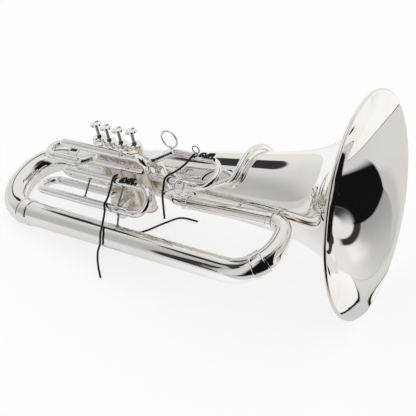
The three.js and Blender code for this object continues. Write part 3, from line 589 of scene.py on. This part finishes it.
def makeMainTubing():
    t = tubing
    route = routeThrough([
        onBellAxis(t["reach"]),
        onBellAxis(0),
        (*onBellAxis(t["apexX"] / bellAxis.x), t["bend"]),
        (t["apexX"], t["branchY"], 0, t["bend"]),
        (t["jointX"], t["branchY"], 0),
        (t["topX"], t["branchY"], 0, t["topFrontBend"]),
        (t["topX"], t["returnTopY"], t["returnZ"], t["topRearBend"]),
        (t["returnEndX"], t["returnEndY"], t["returnZ"]),
    ])
    marks = route["marks"]
    tail, branch, returned = marks[1][0], marks[4][0], marks[6][1]
    top = blend(*marks[5], t["topJoint"])
    runs = [
        ("bottomBow", "bottom_bow", tail, t["startRadius"], branch, t["bowEnd"]),
        ("frontBranch", "front_branch", branch, t["bowEnd"], top, t["branchEnd"]),
        ("topBow", "top_bow", top, t["branchEnd"], returned, t["topEnd"]),
    ]
    for name, node, start, startRadius, end, endRadius in runs:
        start, end = start + fit / 2, end - fit / 2
        outline = [
            (start, startRadius - chamfer), (start + chamfer, startRadius), (end - chamfer, endRadius),
            (end, endRadius - chamfer), (end, endRadius - t["wall"]), (start, startRadius - t["wall"]),
        ]
        makeTube(name, node, route, outline, sides=t["sides"])
    bellFit = blend(bell["tailRadius"], bell["coneRadius"], t["reach"] / bell["length"])
    plain, faint = (t["beadHeight"], t["groove"]), (t["faintBead"], t["faintGroove"])
    ferrules = [
        ("bellFerrule", "bell_tail_ferrule", tail, bellFit, t["startRadius"], plain),
        ("branchFerrule", "branch_ferrule", branch, t["bowEnd"], t["bowEnd"], plain),
        ("topBowFerrule", "top_bow_ferrule", top, t["branchEnd"], t["branchEnd"], faint),
    ]
    for name, node, joint, before, after, relief in ferrules:
        outline = ferruleOutline(joint, before, after, *relief)
        makeTube(name, node, route, outline, polishedPlate, t["sides"])
    last = route["length"]
    outline = returnOutline(returned + fit / 2, last, returned + t["reach"], last - t["reach"])
    makeTube("returnBranch", "return_branch", route, outline, sides=t["returnSides"])


makeMainTubing()
print("main tubing made")

# Valves
valves = {
    "count": 4, "pitch": 31, "arc": 200, "rowX": 187.5, "rowY": -56,
    "casingRadius": 13.5, "boreRadius": 11.6, "bottomZ": -5, "topZ": 150,
    "collarLength": 3, "collarHeight": 0.9, "lowCollar": 12, "highCollar": 14, "plainZ": 40,
    "stubReach": 4, "stubSink": 3, "stubCollar": 1, "stubBeadAt": 3, "stubBead": (2.6, 0.5), "stubLip": 0.8,
    "airwayZ": 97, "airwayRadius": 7.2, "airwayBore": 6.4, "airwaySides": 32,
    "capRadius": 15, "capSkirt": 9, "capPlate": 2.8, "capSteps": 72, "knurlLow": 0.6, "knurlHigh": 3.4,
    "neckZ": 2.8, "neck": 0.5, "roofEdge": [(-1.2, -0.7), (-2.6, 0)],
    "ventRadius": 2.2, "bottomEdge": [(-3, 0), (-0.4, 1.2), (0, 2)],
    "feltRadius": 4.5, "feltGap": 0.05, "feltTopZ": 156.4, "feltLow": [(-0.5, 0), (0, 0.5)],
    "feltHigh": [(0, -0.8), (-0.8, 0)], "feltSteps": 40, "stemHole": 3.6, "stemRadius": 3, "stemStartZ": 125.3,
    "stemTopZ": 180.7, "stemSteps": 32, "hubRadius": 5, "hubZ": 177, "hubEdge": 0.4,
    "buttonRadius": 12.5, "buttonLowZ": 181, "buttonLow": [(-1, 0), (-0.2, 0.1), (0, 0.4)],
    "buttonTopZ": 185, "buttonTop": [(-2.5, -0.4), (-2.8, -0.1), (-3.3, 0), (-4.2, -0.3)], "dish": 0.5,
}
knurl = {"reach": 0.2, "flat": 0.1, "inset": 0.18, "depth": -0.25, "margin": 0.1}
sleeve = {"outer": 8.4, "bore": 7.5, "leg": 7.2, "legBore": 6.4, "bow": 8.4}
loopSleeve = {"outer": 7.8, "bore": 6.9, "leg": 6.6, "legBore": 5.9, "bow": 7.4}
arc = valves["arc"]
turns = [((valves["count"] - 1) / 2 - i) * valves["pitch"] / arc for i in range(valves["count"])]
valvePlaces = [(valves["rowX"] + arc * sin(turn), valves["rowY"] + arc * (1 - cos(turn))) for turn in turns]
towardsBow, towardsBell, towardsFront = (-1, 0), (1, 0), (0, -1)
slideStub, loopStub, pipeStub = (8.4, 6.4), (7.8, 5.9), (6.3, 5.4)
valveStubs = [
    [(towardsBell, 120, loopStub), (towardsBell, 95, loopStub), (towardsFront, 66, pipeStub)],
    [(towardsFront, 6, slideStub), (towardsFront, 32, slideStub)],
    [(towardsFront, 66, slideStub), (towardsFront, 40, slideStub)],
    [(towardsBow, 97, slideStub), (towardsBow, 118, slideStub), (towardsFront, 113, slideStub)],
]


def atValve(i):
    return Matrix.Translation((*valvePlaces[i], 0))


def stubEnd(i, way, height):
    reach = valves["casingRadius"] + valves["stubReach"] + fit
    return (valvePlaces[i][0] + way[0] * reach, valvePlaces[i][1] + way[1] * reach, height)


# Casing with a thread collar at each end, the short tubes on it and the airway to the next casing
def makeCasing(i):
    v = valves
    x, y = valvePlaces[i]
    radius, low, high = v["casingRadius"], v["bottomZ"], v["topZ"]
    lowCollar, highCollar = (
        [(width, at) for at, width in bead(start, v["collarLength"], radius, v["collarHeight"])]
        for start in (low + v["lowCollar"], high - v["highCollar"])
    )
    outline = [
        (v["boreRadius"], low), (radius - chamfer, low), (radius, low + chamfer),
        *lowCollar, (radius, v["plainZ"]), *highCollar,
        (radius, high - chamfer), (radius - chamfer, high), (v["boreRadius"], high),
    ]
    bm = bmesh.new()
    addTurned(bm, outline, atValve(i))
    inner = radius - v["stubSink"]
    for way, height, (outer, bore) in valveStubs[i]:
        end = stubEnd(i, way, height)
        start = (x + way[0] * inner, y + way[1] * inner, height)
        route = routeThrough([start, (end[0] - way[0] * fit, end[1] - way[1] * fit, height)])
        length, collar = route["length"], outer + v["stubCollar"]
        beadStart = length - v["stubBeadAt"]
        beadLength, beadHeight = v["stubBead"]
        addTube(bm, route, [
            (0, collar), (beadStart, collar), *bead(beadStart, beadLength, collar, beadHeight),
            (length, outer + v["stubLip"]), (length, bore), (0, bore),
        ])
    if i + 1 < v["count"]:
        here, there = (Vector((*valvePlaces[k], v["airwayZ"])) for k in (i, i + 1))
        way = (there - here).normalized()
        route = routeThrough([tuple(here + way * inner), tuple(there - way * (radius + fit))])
        length, outer, bore = route["length"], v["airwayRadius"], v["airwayBore"]
        addTube(bm, route, [(0, outer), (length, outer), (length, bore), (0, bore)], v["airwaySides"])
    makePiece(f"valveCasing{i + 1}", bm, [f"valve_casing_{i + 1}"], satinPlate)


# The knurled band of a cap: each of its faces is pressed in
def pressKnurl(bm, verts, low, high, radius):
    band = []
    for face in {face for vert in verts for face in vert.link_faces}:
        middle = face.calc_center_median()
        onBand = low < middle.z < high and middle.xy.length > radius - knurl["reach"]
        if onBand and abs(face.normal.z) < knurl["flat"]:
            band.append(face)
    bmesh.ops.inset_individual(bm, faces=band, thickness=knurl["inset"], depth=knurl["depth"])


def makeTopCap(i):
    v = valves
    radius, hole, inner = v["capRadius"], v["stemHole"], v["casingRadius"] + fit
    skirt, plate = v["topZ"] - v["capSkirt"], v["topZ"] + fit
    roof, bandLow, bandHigh = plate + v["capPlate"], skirt + v["knurlLow"], v["topZ"] - v["knurlHigh"]
    outline = [
        (radius - v["knurlLow"], skirt), (radius, bandLow), (radius, bandHigh),
        (radius - v["neck"], v["topZ"] - v["neckZ"]), (radius - v["neck"], v["topZ"]),
        *shifted(radius, roof, v["roofEdge"]), (hole, roof), (hole, plate), (inner, plate), (inner, skirt),
    ]
    bm = bmesh.new()
    turned = addTurned(bm, outline, Matrix.Identity(4), v["capSteps"])
    bm.normal_update()
    pressKnurl(bm, turned, bandLow + knurl["margin"], bandHigh - knurl["margin"], radius)
    bmesh.ops.transform(bm, matrix=atValve(i), verts=bm.verts)
    makePiece(f"topCap{i + 1}", bm, [f"top_cap_{i + 1}"], polishedPlate)
    low, high, radius = roof + v["feltGap"], v["feltTopZ"], v["feltRadius"]
    wall = shifted(radius, low, v["feltLow"]) + shifted(radius, high, v["feltHigh"])
    felt = [(hole, low), *wall, (hole, high)]
    makeTurned(f"feltCollar{i + 1}", [], felt, atValve(i), v["feltSteps"], blackFelt, "cloth", "horn")


def makeBottomCap(i):
    v = valves
    radius, vent, inner = v["capRadius"], v["ventRadius"], v["casingRadius"] + fit
    top, plate = v["bottomZ"], v["bottomZ"] - fit
    low = plate - v["capPlate"]
    outline = [
        (vent, low), *shifted(radius, low, v["bottomEdge"]),
        (radius, top - chamfer), (radius - chamfer, top), (inner, top), (inner, plate), (vent, plate),
    ]
    makeTurned(f"bottomCap{i + 1}", [f"bottom_cap_{i + 1}"], outline, atValve(i), v["capSteps"])


def makeStemAndButton(i):
    v = valves
    place = atValve(i)
    low, high, hub, edge = v["hubZ"], v["stemTopZ"], v["hubRadius"], v["hubEdge"]
    stem = [
        (0, v["stemStartZ"]), (v["stemRadius"], v["stemStartZ"]), (v["stemRadius"], low),
        (hub - edge, low), (hub, low + edge), (hub, high - edge), (hub - edge, high), (0, high),
    ]
    makeTurned(f"valveStem{i + 1}", [f"valve_stem_{i + 1}"], stem, place, v["stemSteps"], stemMetal)
    low, high, radius = v["buttonLowZ"], v["buttonTopZ"], v["buttonRadius"]
    wall = shifted(radius, low, v["buttonLow"]) + shifted(radius, high, v["buttonTop"])
    button = [(0, low), *wall, (0, high - v["dish"])]
    makeTurned(f"fingerButton{i + 1}", [f"finger_button_{i + 1}"], button, place)
    refinish(f"piston_{i + 1}", stemMetal)


for number in range(valves["count"]):
    makeCasing(number)
    makeTopCap(number)
    makeBottomCap(number)
    makeStemAndButton(number)
print("valves made")


# Slides: two sleeves with a rim at the open end, and a bow whose legs reach into them
rim = {"lip": 0.2, "inset": 0.4, "length": 2.8, "height": 0.35}
crook = {"slim": 0.45, "shoulder": 0.1, "legEnd": 0.5, "bowStart": 0.6, "bowFull": 0.9, "sides": 48}


def sleeveOutline(start, end, size, rimAtEnd):
    outer, bore = size["outer"], size["bore"]
    mouth = [(0, outer - chamfer), (rim["lip"], outer), *bead(rim["inset"], rim["length"], outer, rim["height"])]
    walls = [(start, outer), *mirrored(end, mouth)] if rimAtEnd else [*shifted(start, 0, mouth), (end, outer)]
    return [*walls, (end, bore), (start, bore)]


# From its end to its middle a bow has a leg, a step at the sleeve, a collar and a slim run
def crookOutline(upperEnd, lowerEnd, leg, size, collar):
    c = crook
    bow, legRadius, bore = size["bow"], size["leg"], size["legBore"]
    half = [
        (-leg, legRadius - chamfer), (chamfer - leg, legRadius), (fit + c["legEnd"], legRadius),
        (fit + c["bowStart"], bow - chamfer), (fit + c["bowFull"], bow), (collar - chamfer, bow),
        (collar, bow - c["shoulder"]), (collar + c["shoulder"], bow - c["slim"]),
    ]
    return [*bothEnds(upperEnd, lowerEnd, half), (lowerEnd + leg, bore), (upperEnd - leg, bore)]


(_, firstY), (secondX, _), (thirdX, _), (fourthX, fourthY) = valvePlaces
slides = {
    1: {
        "corners": [
            stubEnd(0, towardsBell, 120), (266, firstY, 120, 12), (290, -8, 120, 16), (343, -8, 120),
            (412, -8, 120, 31.4), (412, -66, 95, 31.4), (343, -66, 95), (275, -66, 95, 12),
            (263, firstY, 95, 12), stubEnd(0, towardsBell, 95),
        ],
        "ends": (3, 6), "leg": 42, "size": loopSleeve, "collar": 22,
    },
    2: {
        "corners": [
            stubEnd(1, towardsFront, 6), (secondX, -93, 6), (secondX, -111, 6, 12.8),
            (secondX, -111, 32, 12.8), (secondX, -93, 32), stubEnd(1, towardsFront, 32),
        ],
        "ends": (1, 4), "leg": 17, "size": sleeve, "collar": 4,
    },
    3: {
        "corners": [
            stubEnd(2, towardsFront, 66), (thirdX, -84, 66, 10.3), (62, -84, 66, 12.7),
            (62, -97, 88, 12.7), (205, -97, 88), (294, -97, 88, 27), (294, -136, 50, 27), (215, -136, 50),
            (0, -136, 50, 26.4), (0, -84, 40, 26.4), (thirdX, -84, 40, 10.3),
            stubEnd(2, towardsFront, 40),
        ],
        "ends": (4, 7), "leg": 65, "size": sleeve, "collar": 38,
    },
    4: {
        "corners": [
            stubEnd(3, towardsBow, 118), (62, fourthY, 118, 20), (62, -87, 149, 20), (229, -87, 149),
            (280.4, -87, 149, 18.4), (280.4, -79, 113, 18.4), (229, -79, 113),
            (fourthX, -79, 113, 10.3), stubEnd(3, towardsFront, 113),
        ],
        "ends": (3, 6), "leg": 60, "size": sleeve, "collar": 16,
    },
}


def makeSlide(number, slide):
    route = routeThrough(slide["corners"])
    size = slide["size"]
    upperEnd, lowerEnd = (route["marks"][mark][0] for mark in slide["ends"])
    upper = sleeveOutline(0, upperEnd, size, True)
    lower = sleeveOutline(lowerEnd, route["length"], size, False)
    bow = crookOutline(upperEnd, lowerEnd, slide["leg"], size, slide["collar"])
    makeTube(f"slide{number}UpperTube", f"slide_{number}_upper_tube", route, upper, sleevePlate)
    makeTube(f"slide{number}LowerTube", f"slide_{number}_lower_tube", route, lower, sleevePlate)
    makeTube(f"slide{number}Crook", f"slide_{number}_crook", route, bow, sides=crook["sides"])


for number, slide in slides.items():
    makeSlide(number, slide)

# Main tuning slide, from the fourth valve to the return branch
tuning = {
    "z": 97, "frontY": -75, "rearY": -25, "apexX": -14, "bend": 25, "sleeveX": 20, "leg": 56, "collar": 12,
    "leaveX": 108, "joinX": 92, "joinBend": 14, "riseX": 262, "riseBend": 30,
    "dropX": 312, "dropY": -64.4, "dropBend": 35, "insert": 12, "endRadius": 10.7,
}


def makeTuningSlide():
    t = tuning
    front, rear, z = t["frontY"], t["rearY"], t["z"]
    inlet = stubEnd(3, towardsBow, z)
    wayX, wayY = tubing["returnEndX"] - t["dropX"], tubing["returnEndY"] - t["dropY"]
    share = 1 + t["insert"] / wayX
    route = routeThrough([
        inlet, (t["leaveX"], inlet[1], z, t["joinBend"]), (t["joinX"], front, z, t["joinBend"]),
        (t["sleeveX"], front, z), (t["apexX"], front, z, t["bend"]), (t["apexX"], rear, z, t["bend"]),
        (t["sleeveX"], rear, z), (t["riseX"], rear, z, t["riseBend"]),
        (t["dropX"], t["dropY"], tubing["returnZ"], t["dropBend"]),
        (t["dropX"] + wayX * share, t["dropY"] + wayY * share, tubing["returnZ"]),
    ])
    marks, last = route["marks"], route["length"]
    frontEnd, rearEnd, widenAt = (marks[i][0] for i in (3, 6, 7))
    inletTube = sleeveOutline(0, frontEnd, sleeve, True)
    makeTube("tuningInletTube", "tuning_inlet_tube", route, inletTube, sleevePlate)
    outline = sleeveOutline(rearEnd, widenAt, sleeve, False)
    outline[-2:-2] = [(last, t["endRadius"]), (last, t["endRadius"] - (sleeve["outer"] - sleeve["bore"]))]
    makeTube("tuningReturnTube", "tuning_return_tube", route, outline)
    bow = crookOutline(frontEnd, rearEnd, t["leg"], sleeve, t["collar"])
    makeTube("tuningSlideBow", "tuning_slide", route, bow, sides=crook["sides"])


makeTuningSlide()
print("slides made")

# Receiver for the mouthpiece and the leadpipe over the bell to the first valve
leadpipe = {
    "radius": 6.3, "bore": 5.4, "mouthX": 346, "receiverLength": 62, "mouthRadius": 10.2, "neckRadius": 8.2,
    "mouthBore": 6.2, "mouthDepth": 6.4, "insert": 24, "valveZ": 66, "frontY": -80, "valveBend": 10.3,
    "mouthRim": [(0, -0.6), (0.6, 0), (2.2, 0), (2.8, -0.7), (3.4, 0), (5.4, 0)],
    "collarAt": 6, "collar": (3, 0.8), "neckEnd": [(-0.4, -0.2), (0, -0.6)],
    "corners": [
        (441, 122, 35, 19), (441, 110, 96.5, 80), (441, 31, 129.4, 78), (441, -22.4, 95, 25), (392, -34, 76.5, 60),
        (300, -78, 70, 60),
    ],
}


def makeLeadpipe():
    p = leadpipe
    radius, bore, neck, length = p["radius"], p["bore"], p["neckRadius"], p["receiverLength"]
    valveEnd = stubEnd(0, towardsFront, p["valveZ"])
    _, mouthY, mouthZ, _ = p["corners"][0]
    route = routeThrough([
        (p["mouthX"], mouthY, mouthZ), *p["corners"], (valveEnd[0], p["frontY"], p["valveZ"], p["valveBend"]),
        valveEnd,
    ])
    start, end = length - p["insert"], route["length"]
    outline = [(start, radius), (end, radius), (end, bore), (start, bore)]
    makeTube("leadpipeTube", "leadpipe", route, outline)
    collarLength, collarHeight = p["collar"]
    outline = [
        *shifted(0, p["mouthRadius"], p["mouthRim"]),
        (p["mouthDepth"], neck), (length - p["collarAt"], neck),
        *bead(length - p["collarAt"], collarLength, neck, collarHeight),
        *shifted(length, neck, p["neckEnd"]), (length, radius + fit), (start - fit, radius + fit),
        (start - fit, bore), (p["mouthDepth"], p["mouthBore"]), (0, p["mouthBore"]),
    ]
    makeTube("mouthReceiver", "mouthpiece_receiver", route, outline)


makeLeadpipe()

# Rings: the finger ring by the valves, the pull ring on the first slide and the small ring for the cord
rings = {
    "finger": {"x": 288, "tube": (-8, 120, 7.8), "radius": 18.6, "wire": 2.1, "across": None},
    "pull": {"x": 358, "tube": (-66, 95, 7.4), "radius": 15, "wire": 1.5, "across": 9},
    "cord": {"x": 350, "tube": (-8, 120, 7.4), "radius": 8, "wire": 1.2, "across": None},
    "wireSides": 16, "footStart": 0.4, "footTop": 0.6, "footBottom": 1.5, "footSides": 20, "sunk": 0.05,
}


# A wire ring with a soldered foot that stands on a tube along X, upright or, with "across", out to the front
def makeRing(name, node, ring, finish=polishedPlate):
    r = rings
    radius, wire = ring["radius"], ring["wire"]
    tubeY, tubeZ, tubeRadius = ring["tube"]
    reach = tubeRadius + fit + wire + radius
    turns = [2 * pi * k / r["wireSides"] for k in range(r["wireSides"])]
    outline = [(radius + wire * cos(turn), wire * sin(turn)) for turn in turns]
    if ring["across"] is None:
        centre = Vector((ring["x"], tubeY, tubeZ + reach))
        turned = Matrix.Rotation(pi / 2, 4, "X")
    else:
        sideways = sqrt(reach**2 - ring["across"] ** 2)
        centre = Vector((ring["x"], tubeY - sideways, tubeZ + ring["across"]))
        turned = Matrix.Rotation(pi / 2, 4, "Y")
    bm = bmesh.new()
    addTurned(bm, outline, Matrix.Translation(centre) @ turned)
    toTube = (Vector((ring["x"], tubeY, tubeZ)) - centre).normalized()
    start = centre + toTube * (radius - wire * r["footStart"])
    end = centre + toTube * (radius + wire + fit - r["sunk"])
    foot = routeThrough([tuple(start), tuple(end)])
    outline = [(0, wire * r["footTop"]), (foot["length"], wire * r["footBottom"])]
    addTube(bm, foot, outline, r["footSides"], hollow=False)
    makePiece(name, bm, [node], finish, "turned")


makeRing("fingerRing", "finger_ring", rings["finger"])
makeRing("pullRing", "slide_1_pull_ring", rings["pull"])
makeRing("cordRing", "cord_ring", rings["cord"], stemMetal)

# Braces: a rod with a bead in its middle and a flared foot on each tube
braces = {
    "radius": 1.9, "flare": [(0, 1.7), (0.7, 1.7), (1.2, 0.7), (2.4, 0)], "bead": (3, 0.5), "sides": 24,
    "leftX": 137, "rightX": 226, "branchX": 231, "bellX": 450,
}


def makeBrace(name, node, x, start, end, finish):
    radius = braces["radius"]
    length, height = braces["bead"]
    route = routeThrough([(x, *start[:2]), (x, *end[:2])])
    low, high = start[2] + fit, route["length"] - end[2] - fit
    outline = bothEnds(low, high, shifted(0, radius, braces["flare"]))
    middle = len(braces["flare"])
    outline[middle:middle] = bead((low + high - length) / 2, length, radius, height)
    makeTube(name, node, route, outline, finish, sides=braces["sides"], hollow=False)


# A brace's ends are (y, z, radius) of the tubes that it joins, at its own X
def makeBraces():
    b, t = braces, tubing
    upper, lower = ((*slides[3]["corners"][k][1:3], sleeve["outer"]) for k in (4, 7))
    share = (b["branchX"] - t["jointX"]) / (t["topX"] - t["topFrontBend"] - t["jointX"])
    branch = (t["branchY"], 0, blend(t["bowEnd"], t["branchEnd"], share))
    share = (b["bellX"] - t["returnEndX"]) / (t["topX"] - t["returnEndX"])
    returnedY = blend(t["returnEndY"], t["returnTopY"], share)
    returned = (returnedY, t["returnZ"], blend(t["returnEnd"], t["returnStart"], share))
    share = b["bellX"] / bellAxis.x / bell["length"]
    onBell = (*onBellAxis(share * bell["length"])[1:], bellRadiusAt(1 - share))
    makeBrace("leftSlideBrace", "slide_brace_left", b["leftX"], upper, lower, darkPlate)
    makeBrace("rightSlideBrace", "slide_brace_right", b["rightX"], upper, lower, darkPlate)
    makeBrace("branchBrace", "branch_brace", b["branchX"], lower, branch, darkPlate)
    makeBrace("bellBrace", "bell_brace", b["bellX"], returned, onBell, polishedPlate)


makeBraces()
print("leadpipe, rings and braces made")

# The studio that the metal shows is drawn by bearing: an azimuth from X and an elevation, both in degrees
def bearings(flow, way):
    x, y, z = (flow.node("SeparateXYZ", None, {"Vector": way}, axis) for axis in "XYZ")
    azimuth = flow.maths("ARCTAN2", y, x) * (180 / pi)
    return azimuth, flow.maths("ARCSINE", z) * (180 / pi), x, y


# The camera and soft light find plain white; only rays off polished metal see the studio
def rayKinds(flow):
    camera, glossy, through = (
        flow.node("LightPath", output=kind) for kind in ("Is Camera Ray", "Is Glossy Ray", "Is Transmission Ray")
    )
    return camera, flow.maths("MAXIMUM", glossy, through)


# 1 between two borders, each given as the middle and half the width of its soft edge
def within(value, start, end):
    return value.rise(start[0] - start[1], start[0] + start[1]) * (1 - value.rise(end[0] - end[1], end[0] + end[1]))


# The unlit side of the studio, behind and beside the camera
room = {"start": (-78, 7), "end": (3.5, 1.2), "topRise": (50, 60), "level": 0.006}

# Floor: white paper that keeps the horn's soft shadow. In the metal it glows with painted light: painted shade
# towards the unlit side, painted pools of light, a painted dark line on the right and painted dimmer floor past it
floor = {
    "size": 12.0, "height": -0.0011, "dark": 0.97, "pale": 0.985, "grainScale": 300.0, "grainDetail": 2.0,
    "own": 0.75, "seenInMetal": 0.7, "paperLevel": 0.68, "edgeBearing": -22, "edge": (0.5, 0.78),
    "frontRise": (0.05, 0.3), "frontLevel": 0.3, "backRise": (80, 120), "backLevel": 0.25,
    "rightBearing": -23, "rightEdge": (0.399, 0.407), "rightDim": 0.4, "line": (0.0012, 0.0035),
    "farEdge": (0.7, 1.1), "farDim": 0.2, "nearEdge": (-0.8, -0.5), "nearDim": 0.2,
}


def makeFloor():
    f = floor
    material, flow = startMaterial("paper")
    place = flow.node("TexCoord", output="Object")
    grain = place.noise(f["grainScale"], f["grainDetail"])
    colours = [(f[name], f[name], f[name], 1) for name in ("dark", "pale")]
    paper = flow.node("BsdfDiffuse", None, {"Color": grain.mixColours(*colours)})
    azimuth, _, x, y = bearings(flow, place)
    out, aside = (x * cos(radians(f[name])) + y * sin(radians(f[name])) for name in ("edgeBearing", "rightBearing"))
    # Painted shade: in the metal the floor goes dark towards the unlit side, out past an edge
    unlit = within(azimuth, room["start"], room["end"]) * out.rise(*f["edge"])
    # Painted shade: the floor seen in the metal is dimmer on the right past the line, and far out
    right = aside.rise(*f["rightEdge"]) * f["rightDim"] + out.rise(*f["farEdge"]) * f["farDim"]
    # A painted dark line on the right, seen only in the metal
    line = 1 - abs(aside - sum(f["rightEdge"]) / 2).rise(*f["line"])
    # Painted shade: the floor seen in the metal is dimmer towards the camera
    near = (1 - y.rise(*f["nearEdge"])) * f["nearDim"]
    # Painted pools of light, one out in front and one behind, seen only in the metal
    paintedPools = out.rise(*f["frontRise"]) * f["frontLevel"] + azimuth.rise(*f["backRise"]) * f["backLevel"]
    # The painted dark mask: painted shade on the unlit side and the painted dark line
    dark = flow.maths("MAXIMUM", unlit, line)
    # The painted light level that rays off metal find on the floor
    level = blend(paintedPools + f["paperLevel"] - right - near, room["level"], dark)
    camera, glossy = rayKinds(flow)
    # The floor glows: even white to the camera, and the painted light level to rays off metal
    glow = flow.node("Emission", None, {"Color": camera + glossy * level, "Strength": 1.0})
    share = camera * f["own"] + glossy * blend(f["seenInMetal"], 1, dark)
    mixed = flow.node("MixShader", None, {0: share, 1: paper, 2: glow})
    flow.node("OutputMaterial", None, {"Surface": mixed})
    bm = bmesh.new()
    bmesh.ops.create_grid(bm, x_segments=1, y_segments=1, size=f["size"] / 2)
    bmesh.ops.translate(bm, vec=(0, 0, f["height"]), verts=bm.verts)
    meshObject("floor", bm, material)


# Studio: pale walls, a bright panel on the right, a pale ceiling with a dark frame, and the unlit side
studio = {
    "leftWall": 0.68, "wallSteps": [
        ((-180, -142), -0.21), ((-136, -104), 0.21), ((-5, 0), -0.34), ((0, 75), 0.46), ((140, 180), -0.12),
    ],
    "panel": (48, 30), "panelSide": (4, 22), "panelTop": (6, 20), "panelLevel": 0.2,
    "ceiling": 0.8, "ceilingRise": (50, 56), "ceilingDim": 0.04, "dimRise": (-104, -86), "dimFall": (-60, 20),
    "dimTop": (70, 78),
    "frameLow": (42, 2), "frameHigh": (54, 2), "frameRise": (-5, 2), "frameFall": (62, 74), "frameLevel": 0.035,
    "gapEnd": 1.5, "gapSide": 0.8,
    "gaps": [
        ((142, 26), (170, 40), 3.2), ((177, 47), (200, 46), 3.0), ((190, 53), (224, 50), 4.5),
        ((221, 48), (240, 44), 4.0), ((221.5, 38), (240.5, -4), 2.2),
    ],
}


# A dark gap between two panels: a straight strip from one bearing to another, on azimuths from 0 to 360
def gapBetween(flow, azimuth, height, start, end, half):
    way = Vector(end) - Vector(start)
    run, climb = way.normalized()
    right, up = azimuth - start[0], height - start[1]
    along, across = right * run + up * climb, up * run - right * climb
    side = abs(across).rise(half - studio["gapSide"], half + studio["gapSide"])
    return within(along, (0, studio["gapEnd"]), (way.length, studio["gapEnd"])) * (1 - side)


def makeStudio():
    s = studio
    world = bpy.data.worlds.new("studio")
    bpy.context.scene.world = world
    flow = startTree(world)
    azimuth, height, _, _ = bearings(flow, flow.node("TexCoord", output="Generated"))
    walls = s["leftWall"]
    for span, change in s["wallSteps"]:
        walls = azimuth.rise(*span) * change + walls
    side = abs(azimuth - s["panel"][0]).rise(*s["panelSide"])
    above = abs(height - s["panel"][1]).rise(*s["panelTop"])
    walls = walls + (1 - side) * (1 - above) * s["panelLevel"]
    dim = (azimuth.rise(*s["dimRise"]) - azimuth.rise(*s["dimFall"])) * (1 - height.rise(*s["dimTop"]))
    ceiling = blend(s["ceiling"], s["ceilingDim"], dim)
    framed = within(height, s["frameLow"], s["frameHigh"])
    framed = framed * azimuth.rise(*s["frameRise"]) * (1 - azimuth.rise(*s["frameFall"]))
    turned = azimuth + flow.maths("LESS_THAN", azimuth, 0.0) * 360
    for start, end, half in s["gaps"]:
        framed = flow.maths("MAXIMUM", framed, gapBetween(flow, turned, height, start, end, half))
    level = blend(walls, ceiling, height.rise(*s["ceilingRise"]))
    level = blend(level, s["frameLevel"], framed)
    unlit = within(azimuth, room["start"], room["end"]) * (1 - height.rise(*room["topRise"]))
    level = blend(level, room["level"], unlit)
    _, glossy = rayKinds(flow)
    back = flow.node("Background", None, {"Color": blend(1, level, glossy), "Strength": 1.0})
    flow.node("OutputWorld", None, {"Surface": back})


makeFloor()
makeStudio()
bpy.context.scene.view_settings.view_transform = "Standard"
print("floor and studio made")
